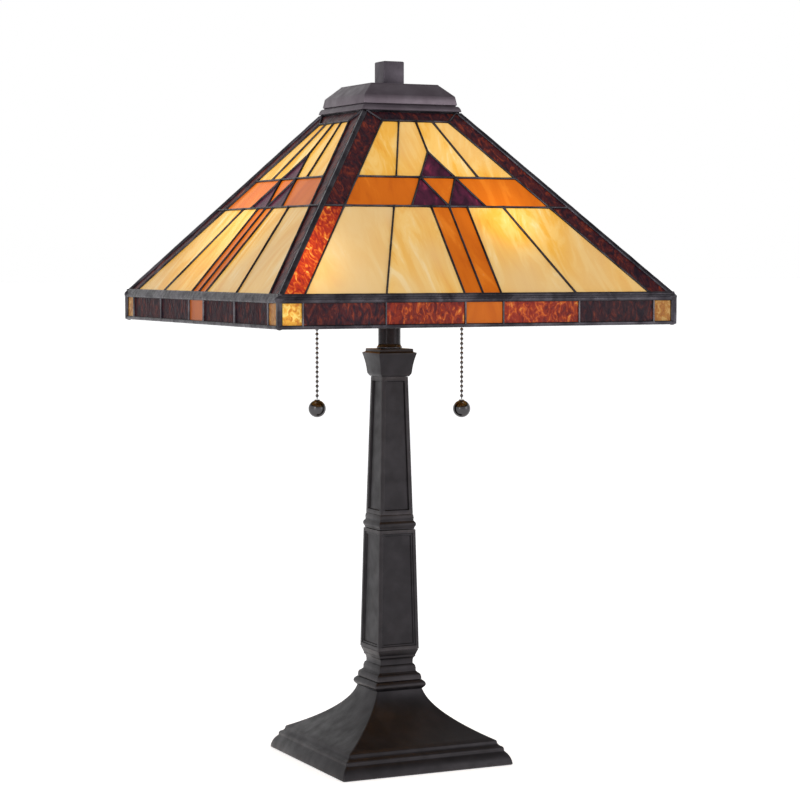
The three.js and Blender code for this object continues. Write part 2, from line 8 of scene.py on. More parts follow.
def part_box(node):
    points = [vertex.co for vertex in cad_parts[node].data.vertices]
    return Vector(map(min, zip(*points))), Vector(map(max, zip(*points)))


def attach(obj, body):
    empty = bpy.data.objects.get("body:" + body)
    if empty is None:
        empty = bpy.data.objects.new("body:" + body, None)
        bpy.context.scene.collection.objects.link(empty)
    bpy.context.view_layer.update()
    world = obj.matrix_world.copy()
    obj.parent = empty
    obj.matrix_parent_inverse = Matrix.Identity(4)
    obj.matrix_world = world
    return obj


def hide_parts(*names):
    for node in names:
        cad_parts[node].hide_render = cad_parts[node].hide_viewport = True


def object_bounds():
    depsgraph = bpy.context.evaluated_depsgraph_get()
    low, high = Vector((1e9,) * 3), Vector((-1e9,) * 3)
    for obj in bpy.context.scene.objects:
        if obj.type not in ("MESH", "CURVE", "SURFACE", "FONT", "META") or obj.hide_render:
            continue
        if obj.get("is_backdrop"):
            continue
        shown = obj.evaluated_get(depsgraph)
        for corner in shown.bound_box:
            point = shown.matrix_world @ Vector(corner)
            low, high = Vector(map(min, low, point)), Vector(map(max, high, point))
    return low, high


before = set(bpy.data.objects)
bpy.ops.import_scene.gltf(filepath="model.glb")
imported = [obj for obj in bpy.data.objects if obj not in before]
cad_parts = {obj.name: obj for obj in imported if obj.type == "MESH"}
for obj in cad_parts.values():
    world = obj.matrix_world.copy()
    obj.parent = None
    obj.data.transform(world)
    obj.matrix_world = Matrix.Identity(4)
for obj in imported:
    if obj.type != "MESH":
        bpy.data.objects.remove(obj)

cad_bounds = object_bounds()

MM = 0.001
SAME_POINT = 0.00002  # in metres
SLIVER = 0.000005
NEAR = 0.01
SIDES = ["front", "right", "back", "left"]
CORNERS = ["front_right", "back_right", "back_left", "front_left"]
ARMS = {"right": 1, "left": -1}


def low(node):
    """The lowest corner of a CAD node, in millimetres."""
    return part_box(node)[0] / MM


def high(node):
    """The highest corner of a CAD node, in millimetres."""
    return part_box(node)[1] / MM


# ---- sizes
EAVE_HALF = high("hip_came_front_right").x
RIM_Z = low("hip_came_front_right").z
EAVE_Z = 403
RIDGE_HALF = 43.5
RIDGE_Z = 558.4
SLOPE_RUN = EAVE_HALF - RIDGE_HALF
SLOPE_RISE = RIDGE_Z - EAVE_Z
SLOPE_LENGTH = math.hypot(SLOPE_RUN, SLOPE_RISE)
SLOPE_ANGLE = math.atan2(SLOPE_RISE, SLOPE_RUN)
SKIRT_HEIGHT = EAVE_Z - RIM_Z
CLUSTER_Z = 405
CLUSTER_TURN = math.radians(-25.3)
SOCKET_RISE = math.radians(20)
GLOBE_AT = 106

# The pattern on a slope: up from the eave, and out from the middle.
BORDER_UP = 192.4
BAND_HIGH = 128.6
BAND_LOW = 96.4
STRIP_WIDTH = 21
APEX_UP = 157.2
TRIANGLE_OUT = 34
MIDDLE_OUT = 16
RAY_TOP_OUT = 15.6
RAY_BAND_OUT = 37.8
FAN_BAND_OUT = 49.7
FAN_EAVE_OUT = 86.2
STEM_OUT = 16.4
SKIRT_DIVIDERS = [17, 86.5, 157]

# Glass and solder.
GLASS_FRONT = 0.9  # from the outer plane of the shade in to the glass
GLASS_BACK = 3.9
CAME_RISE = 0.7
CAME_STEP = 6  # length of the facets that the solder's unevenness follows
BAR_SEEDS = {"eave": 0, "rim": 20, "top": 40, "hip": 60, "corner": 80}
# Width of the facets, height of the unevenness and its scale, for each kind of surface.
RIPPLED_SURFACE = (3, 0.32, 0.13)
SMOOTH_SURFACE = (5, 0.14, 0.05)
HIP_MITRE = math.tan(math.acos(math.cos(SLOPE_ANGLE) ** 2) / 2)
EAVE_MITRE = math.tan((math.pi / 2 - SLOPE_ANGLE) / 2)


# ---- materials
class Shader:
    """A Principled material and short ways to add nodes to it."""

    def __init__(self, name, roughness, metallic=0.0, **sockets):
        self.material = bpy.data.materials.new(name)
        self.material.use_nodes = True
        self.tree = self.material.node_tree
        self.surface = self.tree.nodes["Principled BSDF"]
        self.surface.inputs["Roughness"].default_value = roughness
        self.surface.inputs["Metallic"].default_value = metallic
        for socket, value in sockets.items():
            self.surface.inputs[socket.replace("_", " ")].default_value = value

    def node(self, kind, inputs=(), **settings):
        made = self.tree.nodes.new("ShaderNode" + kind)
        for key, value in settings.items():
            setattr(made, key, value)
        for key, value in dict(inputs).items():
            if isinstance(value, bpy.types.NodeSocket):
                self.tree.links.new(value, made.inputs[key])
            else:
                made.inputs[key].default_value = value
        return made

    def place(self, stretch=(1, 1, 1), attribute=None):
        """Object coordinates, or a mesh's own, with each axis stretched."""
        if attribute:
            source = self.node("Attribute", attribute_name=attribute).outputs["Vector"]
        else:
            source = self.node("TexCoord").outputs["Object"]
        return self.node("Mapping", {"Vector": source, "Scale": stretch}).outputs["Vector"]

    def noise(self, vector, scale, detail=3.0, distortion=0.0, roughness=0.5):
        values = {
            "Vector": vector,
            "Scale": scale,
            "Detail": detail,
            "Distortion": distortion,
            "Roughness": roughness,
        }
        return self.node("TexNoise", values).outputs["Fac"]

    def ramp(self, value, stops, mode="EASE"):
        """A colour ramp through (position, colour) stops."""
        made = self.node("ValToRGB", {"Fac": value})
        elements = made.color_ramp.elements
        made.color_ramp.interpolation = mode
        while len(elements) < len(stops):
            elements.new(0.5)
        for element, (position, colour) in zip(elements, stops):
            element.position = position
            element.color = (*colour, 1) if len(colour) == 3 else colour
        return made.outputs["Color"]

    def grey(self, value, *stops):
        """A ramp of single values."""
        return self.ramp(value, [(at, (level, level, level)) for at, level in stops], "LINEAR")

    def math(self, operation, first, second):
        return self.node("Math", {0: first, 1: second}, operation=operation).outputs[0]

    def mix(self, factor, first, second):
        values = {0: factor, 6: first, 7: second}
        return self.node("Mix", values, data_type="RGBA").outputs[2]

    def bump(self, height, distance, before=None):
        values = {"Height": height, "Distance": distance, "Strength": 1.0}
        if before is not None:
            values["Normal"] = before
        return self.node("Bump", values).outputs["Normal"]

    def set(self, **links):
        for socket, value in links.items():
            self.tree.links.new(value, self.surface.inputs[socket.replace("_", " ")])
        return self.material


def metal(name, dark, light, edge_colour, roughness, metallic=0.85, grain=1400, grain_depth=0.00004):
    """A mottled metal whose convex edges are lighter in patches."""
    shader = Shader(name, roughness, metallic)
    place = shader.place()
    clouds = shader.noise(place, 60, 4, 0.3)
    mottle = shader.ramp(clouds, [(0.3, dark), (0.72, light)])
    point = shader.node("NewGeometry").outputs["Pointiness"]
    edge_patches = shader.noise(place, 160, 3)
    edge = shader.math("MULTIPLY", shader.grey(point, (0.52, 0.0), (0.60, 1.0)), edge_patches)
    colour = shader.mix(edge, mottle, (*edge_colour, 1))
    gloss = shader.grey(shader.noise(place, 90, 5), (0.3, roughness - 0.08), (0.75, roughness + 0.12))
    fine = shader.noise(place, grain, 2)
    normal = shader.bump(fine, grain_depth)
    return shader.set(Base_Color=colour, Roughness=gloss, Normal=normal)


def solder_metal(name, dark, light):
    """Patinated solder: dark, slightly lumpy, in cloudy darker and lighter tones."""
    shader = Shader(name, 0.38, 0.9)
    place = shader.place()
    clouds = shader.noise(place, 60, 4, 0.4)
    tone = shader.ramp(clouds, [(0.3, dark), (0.75, light)])
    gloss = shader.grey(shader.noise(place, 210, 3), (0.35, 0.26), (0.7, 0.5))
    lumps = shader.bump(shader.noise(place, 330, 2), 0.00022)
    return shader.set(Base_Color=tone, Roughness=gloss, Normal=lumps)


def glass(name, tones, lit, stretch, streak_scale, ripple=0.0, milky=None, shine=0.12):
    """Art glass: the tones of its streaks, and the colours they show where painted light, standing in for the
    bulbs shining through the glass, is strong.
    """
    shader = Shader(name, 0.28, 0.0, Specular_IOR_Level=shine, Emission_Strength=1.0)
    grain = shader.place(stretch, "grain")
    wisps = shader.noise(grain, streak_scale, 5, 1.2, 0.6)
    colour = shader.ramp(wisps, tones)
    bright = shader.ramp(wisps, lit)
    if milky:
        milk_and_hot_spot = shader.node("Attribute", attribute_name="milk_and_hot_spot").outputs["Fac"]
        colour = shader.mix(milk_and_hot_spot, colour, (*milky[0], 1))
        bright = shader.mix(milk_and_hot_spot, bright, (*milky[1], 1))
    # Painted light: the glass emits its lit colours where it is painted to shine, standing in for the bulbs
    # inside.
    painted_glow = shader.node("Attribute", attribute_name="painted_glow").outputs["Fac"]
    light = shader.mix(painted_glow, (0, 0, 0, 1), bright)
    seeds = shader.noise(shader.place((1, 1, 1), "grain"), 900, 2)
    normal = shader.bump(seeds, 0.00003)
    if ripple:
        waves = shader.noise(shader.place((1, 0.55, 1), "grain"), 170, 2, 1.5)
        normal = shader.bump(waves, ripple, normal)
    return shader.set(Base_Color=colour, Emission_Color=light, Normal=normal)


AMBER = glass(
    "amber_glass",
    [
        (0.30, (0.48, 0.22, 0.04)), (0.44, (0.52, 0.28, 0.06)),
        (0.56, (0.55, 0.35, 0.12)), (0.70, (0.58, 0.44, 0.24)),
    ],
    [
        (0.30, (0.84, 0.34, 0.01)), (0.44, (0.88, 0.43, 0.03)),
        (0.56, (0.92, 0.52, 0.09)), (0.70, (0.94, 0.66, 0.26)),
    ],
    (1.0, 0.24, 1.0), 48, milky=[(0.47, 0.34, 0.18), (0.80, 0.52, 0.21)],
)
ORANGE = glass(
    "orange_glass",
    [
        (0.28, (0.28, 0.055, 0.003)), (0.52, (0.33, 0.075, 0.004)),
        (0.70, (0.40, 0.105, 0.008)), (0.84, (0.50, 0.30, 0.12)),
    ],
    [
        (0.28, (0.62, 0.12, 0.003)), (0.52, (0.74, 0.16, 0.005)),
        (0.70, (0.85, 0.22, 0.012)), (0.84, (0.90, 0.55, 0.20)),
    ],
    (1.0, 0.3, 1.0), 40,
)
PURPLE = glass(
    "purple_glass",
    [(0.35, (0.016, 0.005, 0.012)), (0.55, (0.036, 0.008, 0.020)), (0.72, (0.09, 0.014, 0.030))],
    [(0.35, (0.03, 0.006, 0.016)), (0.55, (0.08, 0.010, 0.030)), (0.72, (0.30, 0.02, 0.07))],
    (1.0, 0.6, 1.0), 70,
)
BROWN_TONES = [
    (0.38, (0.008, 0.004, 0.009)), (0.52, (0.020, 0.006, 0.010)),
    (0.66, (0.060, 0.011, 0.010)), (0.76, (0.13, 0.025, 0.01)),
]
BROWN_LIT = [
    (0.36, (0.02, 0.006, 0.009)), (0.52, (0.08, 0.010, 0.007)),
    (0.66, (0.24, 0.036, 0.009)), (0.76, (0.50, 0.12, 0.02)),
]
BROWN_GRAIN = (1.0, 0.5, 1.0)
BROWN = glass("brown_glass", BROWN_TONES, BROWN_LIT, BROWN_GRAIN, 190, 0.0006)
DULL_BROWN = glass("dull_brown_glass", BROWN_TONES, BROWN_LIT, BROWN_GRAIN, 190, 0.0006, shine=0.02)
RED = glass(
    "red_glass",
    [
        (0.36, (0.026, 0.006, 0.009)), (0.50, (0.10, 0.013, 0.008)),
        (0.62, (0.30, 0.045, 0.010)), (0.74, (0.50, 0.17, 0.03)),
    ],
    [
        (0.30, (0.40, 0.020, 0.006)), (0.50, (0.66, 0.045, 0.008)),
        (0.62, (0.90, 0.20, 0.02)), (0.70, (1.00, 0.60, 0.12)),
    ],
    (1.0, 0.55, 1.0), 210, ripple=0.0008,
)
YELLOW = glass(
    "yellow_glass",
    [(0.36, (0.20, 0.07, 0.022)), (0.50, (0.28, 0.11, 0.030)), (0.66, (0.38, 0.20, 0.07))],
    [(0.36, (0.62, 0.20, 0.010)), (0.50, (0.80, 0.44, 0.03)), (0.64, (0.95, 0.75, 0.18))],
    (1.0, 0.8, 1.0), 200, ripple=0.0006,
)
GLASSES = {
    "amber": AMBER, "orange": ORANGE, "purple": PURPLE, "brown": BROWN, "dull_brown": DULL_BROWN,
    "red": RED, "yellow": YELLOW,
}
RIPPLED = {"brown", "dull_brown", "red", "yellow"}

BRONZE = metal("bronze", (0.020, 0.018, 0.020), (0.029, 0.026, 0.029), (0.075, 0.066, 0.068), 0.40)
CAP_BRONZE = metal("cap_bronze", (0.088, 0.068, 0.082), (0.120, 0.098, 0.115), (0.22, 0.18, 0.21), 0.40)
KNOB_BRONZE = metal("knob_bronze", (0.048, 0.040, 0.050), (0.062, 0.053, 0.064), (0.12, 0.10, 0.12), 0.44)
SOLDER = solder_metal("came", (0.022, 0.019, 0.024), (0.080, 0.073, 0.085))
NECK_BRONZE = metal("neck_bronze", (0.018, 0.016, 0.018), (0.028, 0.026, 0.029), (0.07, 0.06, 0.065), 0.22)
# Painted highlight: a lighter copy of the solder for the skirt cames, as if they catch the light.
PAINTED_LIT_SOLDER = solder_metal("skirt_came", (0.055, 0.050, 0.058), (0.16, 0.15, 0.165))
BRASS = metal("brass", (0.42, 0.27, 0.09), (0.58, 0.40, 0.16), (0.80, 0.62, 0.32), 0.28, 1.0)
STEEL = metal("steel", (0.36, 0.36, 0.35), (0.52, 0.52, 0.50), (0.75, 0.75, 0.73), 0.32, 1.0)
IRON = metal(
    "iron", (0.030, 0.029, 0.030), (0.065, 0.060, 0.058), (0.12, 0.11, 0.11),
    roughness=0.65, metallic=0.6, grain=500, grain_depth=0.0003,
)
NICKEL = metal(
    "nickel", (0.050, 0.048, 0.050), (0.085, 0.082, 0.085), (0.20, 0.19, 0.19),
    roughness=0.16, metallic=1.0, grain=600, grain_depth=0.00001,
)


def phenolic_material():
    shader = Shader("phenolic", 0.45)
    place = shader.place()
    stops = [(0.3, (0.010, 0.009, 0.009)), (0.7, (0.022, 0.019, 0.018))]
    tone = shader.ramp(shader.noise(place, 120, 4), stops)
    return shader.set(Base_Color=tone, Normal=shader.bump(shader.noise(place, 900, 2), 0.00004))


def felt_material():
    shader = Shader("felt", 0.95, Sheen_Weight=0.4, Sheen_Roughness=0.6)
    place = shader.place()
    fibres = shader.noise(place, 1500, 4, 2.5)
    tone = shader.ramp(fibres, [(0.3, (0.010, 0.016, 0.012)), (0.7, (0.035, 0.048, 0.038))])
    return shader.set(Base_Color=tone, Normal=shader.bump(fibres, 0.0004))


def bulb_material():
    shader = Shader("bulb_white", 0.35, Emission_Strength=1.4)
    frost = shader.noise(shader.place(), 500, 3)
    tone = shader.ramp(frost, [(0.3, (0.86, 0.80, 0.70)), (0.7, (0.95, 0.90, 0.82))])
    light = shader.ramp(frost, [(0.3, (1.0, 0.70, 0.36)), (0.7, (1.0, 0.76, 0.44))])
    return shader.set(Base_Color=tone, Emission_Color=light, Normal=shader.bump(frost, 0.00005))


def floor_material():
    shader = Shader("floor", 0.7, Emission_Color=(1, 1, 1, 1), Emission_Strength=0.60)
    grain = shader.noise(shader.place(), 6, 3)
    return shader.set(Base_Color=shader.ramp(grain, [(0.3, (0.90, 0.90, 0.90)), (0.7, (0.93, 0.93, 0.93))]))


PHENOLIC = phenolic_material()
FELT = felt_material()
BULB = bulb_material()


# ---- mesh helpers
def add_piece(name, body, material, mesh_parts, replaces=(), sharp=35):
    """Makes one object from (vertices, faces) parts in millimetres and hangs it on a CAD body."""
    mesh = bmesh.new()
    for vertices, faces in mesh_parts:
        made = [mesh.verts.new(Vector(v) * MM) for v in vertices]
        for face in faces:
            mesh.faces.new([made[i] for i in face])
    return finish_piece(name, body, material, mesh, replaces, sharp)


def finish_piece(name, body, material, mesh, replaces=(), sharp=35):
    """Cleans a mesh, makes it an object on a body, and hides the CAD nodes it stands for."""
    bmesh.ops.remove_doubles(mesh, verts=mesh.verts, dist=SAME_POINT)
    bmesh.ops.dissolve_degenerate(mesh, edges=mesh.edges, dist=SLIVER)
    bmesh.ops.recalc_face_normals(mesh, faces=mesh.faces)
    data = bpy.data.meshes.new(name)
    mesh.to_mesh(data)
    mesh.free()
    data.shade_smooth()
    data.set_sharp_from_angle(angle=math.radians(sharp))
    data.materials.append(material)
    piece = bpy.data.objects.new(name, data)
    bpy.context.scene.collection.objects.link(piece)
    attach(piece, body)
    if replaces:
        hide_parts(*replaces)
    return piece


def moved(part, matrix):
    vertices, faces = part
    return [matrix @ Vector(v) for v in vertices], faces


def bridge(loops, close_ends=True, close_loop=False):
    """Joins equal closed loops of points into a tube; its ends are filled, or joined to each other."""
    count = len(loops[0])
    vertices = [point for points in loops for point in points]
    pairs = [(i, i + 1) for i in range(len(loops) - 1)]
    if close_loop:
        pairs.append((len(loops) - 1, 0))
    faces = []
    for here, there in pairs:
        for i in range(count):
            after = (i + 1) % count
            corners = (here * count + i, here * count + after, there * count + after, there * count + i)
            faces.append(corners)
    if close_ends and not close_loop:
        faces.append(tuple(range(count))[::-1])
        faces.append(tuple((len(loops) - 1) * count + i for i in range(count)))
    return vertices, faces


def curve(start, control, end, steps):
    """Points of a quadratic curve, without its first point."""
    points = []
    for i in range(1, steps + 1):
        t = i / steps
        points.append(
            tuple((1 - t) ** 2 * a + 2 * t * (1 - t) * b + t * t * c for a, b, c in zip(start, control, end))
        )
    return points


def turned(outline, sides=48):
    """A solid of revolution about Z; the outline starts and ends on the axis or comes back to its start."""
    ring = outline[0] == outline[-1]
    points = outline[:-1] if ring else outline
    loops = []
    for radius, up in points:
        loop = []
        for i in range(sides):
            angle = 2 * math.pi * i / sides
            loop.append((radius * math.cos(angle), radius * math.sin(angle), up))
        loops.append(loop)
    return bridge(loops, close_ends=False, close_loop=ring)


def square_loop(half, up, corner):
    """A square ring of points with round corners."""
    steps = 4
    corner = min(corner, half * 0.9)
    loop = []
    for quarter in range(4):
        turn = Matrix.Rotation(quarter * math.pi / 2, 3, "Z")
        for i in range(steps + 1):
            angle = -math.pi / 2 + (math.pi / 2) * i / steps
            x = half - corner + corner * math.cos(angle)
            y = corner - half + corner * math.sin(angle)
            loop.append(turn @ Vector((x, y, up)))
    return loop


def square_moulding(outline, corner=0.9, close_loop=False):
    """A moulding square in plan, from an outline of (half width, height) points."""
    return bridge([square_loop(half, up, corner) for half, up in outline], close_loop=close_loop)


# ---- flat polygons
STRAIGHT = 1e-4  # the sine of the turn below which a corner counts as straight


def offset_inside(corners, distances):
    """Moves each edge of a counter-clockwise polygon in by its own distance; a corner may be straight."""
    count = len(corners)
    edges = []
    for i, start in enumerate(corners):
        along = (corners[(i + 1) % count] - start).normalized()
        normal = Vector((-along.y, along.x))
        edges.append((start + normal * distances[i], along, normal))
    moved_corners = []
    for i in range(count):
        origin, along, normal = edges[i]
        before_origin, before_along, _ = edges[i - 1]
        cross = before_along.x * along.y - before_along.y * along.x
        if abs(cross) < STRAIGHT:
            moved_corners.append(corners[i] + normal * distances[i])
            continue
        gap = origin - before_origin
        reach = (gap.x * along.y - gap.y * along.x) / cross
        moved_corners.append(before_origin + before_along * reach)
    return moved_corners


def slope_half(up):
    return EAVE_HALF - SLOPE_RUN / SLOPE_LENGTH * up


def field_half(up):
    return slope_half(up) - STRIP_WIDTH


def mirrored(corners):
    return [(-x, y) for x, y in reversed(corners)]


def slope_pieces():
    """(name, kind of glass, counter-clockwise corners) of each piece on a slope."""
    eave, ridge = 0, SLOPE_LENGTH
    stem_top = [(0, BAND_LOW), (STEM_OUT, BAND_LOW), (TRIANGLE_OUT, BAND_LOW)]
    right = [
        ("ray_inner", "amber", [(0, APEX_UP), (MIDDLE_OUT, BAND_HIGH), (RAY_BAND_OUT, BAND_HIGH),
                                (RAY_TOP_OUT, BORDER_UP), (0, BORDER_UP)]),
        ("ray_outer", "amber", [(RAY_BAND_OUT, BAND_HIGH), (field_half(BAND_HIGH), BAND_HIGH),
                                (field_half(BORDER_UP), BORDER_UP), (RAY_TOP_OUT, BORDER_UP)]),
        ("band", "orange", [(TRIANGLE_OUT, BAND_LOW), (field_half(BAND_LOW), BAND_LOW),
                            (field_half(BAND_HIGH), BAND_HIGH), (MIDDLE_OUT, BAND_HIGH)]),
        ("triangle", "purple", [stem_top[0], stem_top[2], (MIDDLE_OUT, BAND_HIGH)]),
        ("stem", "orange", [(0, eave), (STEM_OUT, eave), stem_top[1], stem_top[0]]),
        ("fan_inner", "amber", [(STEM_OUT, eave), (FAN_EAVE_OUT, eave),
                                (FAN_BAND_OUT, BAND_LOW), stem_top[1]]),
        ("fan_outer", "amber", [(FAN_EAVE_OUT, eave), (field_half(eave), eave),
                                (field_half(BAND_LOW), BAND_LOW), (FAN_BAND_OUT, BAND_LOW)]),
        ("hip_lower", "brown", [(field_half(eave), eave), (slope_half(eave), eave),
                                (slope_half(BAND_LOW), BAND_LOW), (field_half(BAND_LOW), BAND_LOW)]),
        ("hip_upper", "brown", [(field_half(BAND_LOW), BAND_LOW), (slope_half(BAND_LOW), BAND_LOW),
                                (slope_half(ridge), ridge), (field_half(BORDER_UP), BORDER_UP)]),
    ]
    middle = [
        ("apex", "purple", [(-MIDDLE_OUT, BAND_HIGH), (MIDDLE_OUT, BAND_HIGH), (0, APEX_UP)]),
        ("heart", "orange", [(-MIDDLE_OUT, BAND_HIGH), (0, BAND_LOW), (MIDDLE_OUT, BAND_HIGH)]),
        ("top_border", "brown", [(-field_half(BORDER_UP), BORDER_UP), (field_half(BORDER_UP), BORDER_UP),
                                 (slope_half(ridge), ridge), (-slope_half(ridge), ridge)]),
    ]
    left = [(name, kind, mirrored(corners)) for name, kind, corners in right]
    return name_sides(middle, right, left)


def skirt_pieces():
    """The pieces on a skirt, up from the rim."""
    kinds = ["red", "brown", "yellow"]
    names = ["skirt_inner", "skirt_outer", "skirt_corner"]
    ends = [*SKIRT_DIVIDERS, EAVE_HALF]
    right = []
    for name, kind, near, far in zip(names, kinds, ends, ends[1:]):
        right.append((name, kind, [(near, 0), (far, 0), (far, SKIRT_HEIGHT), (near, SKIRT_HEIGHT)]))
    half = SKIRT_DIVIDERS[0]
    outline = [(-half, 0), (half, 0), (half, SKIRT_HEIGHT), (-half, SKIRT_HEIGHT)]
    middle = [("skirt_middle", "orange", outline)]
    left = [(name, kind, mirrored(corners)) for name, kind, corners in right]
    return name_sides(middle, right, left)


def name_sides(middle, right, left):
    """One list of pieces, with _r and _l after the names of those beside the middle."""
    named = list(middle)
    named += [(name + "_r", kind, corners) for name, kind, corners in right]
    named += [(name + "_l", kind, corners) for name, kind, corners in left]
    return [(name, kind, [Vector(c) for c in corners]) for name, kind, corners in named]


# ---- the shade's faces
# How far the glass stays inside each kind of edge, and where the metal lines start from it.
GLASS_INSET = {
    "seam": 0.3,
    "hip": 0.3 + GLASS_BACK * HIP_MITRE,
    "eave": 0.3 + GLASS_BACK * EAVE_MITRE,
    "crease": 0.3 + GLASS_BACK * EAVE_MITRE,
    "corner": 0.3 + GLASS_BACK,
    "rim": 1.2,
    "top": 1.4,
}
CAME_START = {"seam": 0, "hip": 2.2, "eave": 3.4, "crease": 3.2, "corner": 2.4, "rim": 1.4, "top": 1.2}

# A metal line between two pieces: (inset, outward, share of the unevenness) from crest to crest.
CAME_RINGS = [
    (0.0, CAME_RISE, 1.0),
    (0.38, 0.55, 0.85),
    (0.66, 0.15, 0.5),
    (0.82, -0.5, 0.0),
    (0.78, -1.3, 0.0),
    (0.2, -1.3, 0.0),
    (0.2, -2.9, 0.0),
    (0.78, -2.9, 0.0),
    (0.8, -3.6, 0.0),
    (0.5, -4.0, 0.0),
    (0.0, -4.2, 0.0),
]
# Painted light, standing in for the bulbs shining through the glass: how brightly each side is painted lit,
# everywhere and in spots (face, across, up, spread, peak).
PAINTED_EVEN_GLOW = {"front": 0.37, "right": 0.32, "back": 0.37, "left": 0.32}
PAINTED_FRONT_SPOTS = [
    ("slope", 50, 84, 30, 0.55), ("slope", 40, 150, 70, 0.22), ("slope", -155, 50, 42, 0.75),
    ("skirt", -168, 11, 14, 0.7), ("skirt", 20, 11, 60, 0.18), ("skirt", -115, 11, 26, 0.5),
]
PAINTED_SIDE_SPOTS = [("slope", -43, 84, 60, 0.60), ("slope", 0, 160, 70, 0.25)]
PAINTED_GLOW_SPOTS = {"front": PAINTED_FRONT_SPOTS, "right": PAINTED_SIDE_SPOTS, "back": PAINTED_FRONT_SPOTS, "left": PAINTED_SIDE_SPOTS}
# The sheet that one piece was cut from instead of its usual one.
OTHER_SHEETS = {("front", "hip_lower_l"): "red", ("back", "hip_lower_l"): "red"}
for side in ("left", "right"):
    for piece in ("skirt_inner_l", "skirt_inner_r", "skirt_outer_l", "skirt_outer_r"):
        OTHER_SHEETS[side, piece] = "dull_brown"


def face_frame(index, face):
    """From a face's (across, up, outward) to the lamp, in millimetres."""
    turn = Matrix.Rotation(index * math.pi / 2, 4, "Z")
    if face == "slope":
        return turn @ Matrix.Translation((0, -EAVE_HALF, EAVE_Z)) @ Matrix.Rotation(SLOPE_ANGLE, 4, "X")
    return turn @ Matrix.Translation((0, -EAVE_HALF, RIM_Z)) @ Matrix.Rotation(math.pi / 2, 4, "X")


def edge_kind(face, start, end):
    """What a side of a piece runs along."""
    def both(test):
        return test(start) and test(end)

    top = SLOPE_LENGTH if face == "slope" else SKIRT_HEIGHT
    if both(lambda p: p.y < NEAR):
        return "eave" if face == "slope" else "rim"
    if both(lambda p: p.y > top - NEAR):
        return "top" if face == "slope" else "crease"
    if face == "slope" and both(lambda p: abs(abs(p.x) - slope_half(p.y)) < NEAR):
        return "hip"
    if face == "skirt" and both(lambda p: abs(abs(p.x) - EAVE_HALF) < NEAR):
        return "corner"
    return "seam"


def edge_kinds(face, corners):
    return [edge_kind(face, p, corners[(i + 1) % len(corners)]) for i, p in enumerate(corners)]


def unevenness(point, seed, scale):
    return noise.noise(Vector((point[0] * scale, point[1] * scale, seed)))


def painted_glow_at(side, face, point):
    """How strongly painted light shows at a point, from 0 to 1, standing in for the light inside shining
    through the glass.
    """
    painted_glow = PAINTED_EVEN_GLOW[side]
    # Painted shade: the skirts get a quarter of it, and the top border under the cap a tenth.
    if face == "skirt":
        painted_glow *= 0.25
    elif point[1] > BORDER_UP:
        painted_glow *= 0.1
    for spot_face, across, up, spread, peak in PAINTED_GLOW_SPOTS[side]:
        if spot_face == face:
            away = math.hypot(point[0] - across, point[1] - up) / spread
            painted_glow += peak * math.exp(-away * away)
    return min(painted_glow, 1.0)


def milk_and_hot_spot_at(side, point, seed):
    """How milky the amber glass is: its own amount in each piece, less in the upper row, and less round the
    first painted hot spot, which shows the glass there as lit clear amber.
    """
    row = 0.55 if point[1] < BAND_LOW + 1 else 0.10
    # Painted light: the glass is cleared round the first painted hot spot.
    _, across, up, spread, _ = PAINTED_GLOW_SPOTS[side][0]
    away = math.hypot(point[0] - across, point[1] - up) / (1.6 * spread)
    clouds = 0.3 * math.sin(seed * 2.3) + 0.35 * unevenness(point, seed, 0.03)
    return min(1.0, max(0.0, row + clouds - 0.9 * math.exp(-away * away)))


def add_glass(name, kind, corners, face, side, seed):
    """One piece of glass, gently uneven, with its own stretch of the sheet's grain."""
    step, swell, scale = RIPPLED_SURFACE if kind in RIPPLED else SMOOTH_SURFACE
    index = SIDES.index(side)
    outline = offset_inside(corners, [GLASS_INSET[kind] for kind in edge_kinds(face, corners)])
    mesh = bmesh.new()
    grain = mesh.verts.layers.float_vector.new("grain")
    painted_glow = mesh.verts.layers.float.new("painted_glow")
    milk_and_hot_spot = mesh.verts.layers.float.new("milk_and_hot_spot")
    mesh.faces.new([mesh.verts.new((p.x, p.y, -GLASS_FRONT)) for p in outline])
    for axis in (0, 1):
        first = math.ceil(min(p[axis] for p in outline) / step)
        last = math.floor(max(p[axis] for p in outline) / step)
        normal = (1, 0, 0) if axis == 0 else (0, 1, 0)
        for line in range(first, last + 1):
            at = [line * step * value for value in normal]
            everything = mesh.verts[:] + mesh.edges[:] + mesh.faces[:]
            bmesh.ops.bisect_plane(mesh, geom=everything, dist=0.05, plane_co=at, plane_no=normal)
    grown = bmesh.ops.extrude_face_region(mesh, geom=mesh.faces[:])["geom"]
    rear = {v for v in grown if isinstance(v, bmesh.types.BMVert)}
    for v in mesh.verts:
        wave = swell * unevenness(v.co, seed + (9 if v in rear else 0), scale)
        v[grain] = Vector((v.co.x, v.co.y, 0)) * MM + Vector((seed * 0.37, seed * 0.53, seed * 0.21))
        v[painted_glow] = painted_glow_at(side, face, v.co)
        v[milk_and_hot_spot] = milk_and_hot_spot_at(side, v.co, seed)
        v.co.z = (-GLASS_BACK if v in rear else -GLASS_FRONT) + wave
    bmesh.ops.transform(mesh, matrix=Matrix.Scale(MM, 4) @ face_frame(index, face), verts=mesh.verts)
    replaced = [f"{face}_glass_{side}"] if name in ("stem_r", "skirt_middle") else []
    return finish_piece(f"glass_{side}_{name}", "shade", GLASSES[kind], mesh, replaced)


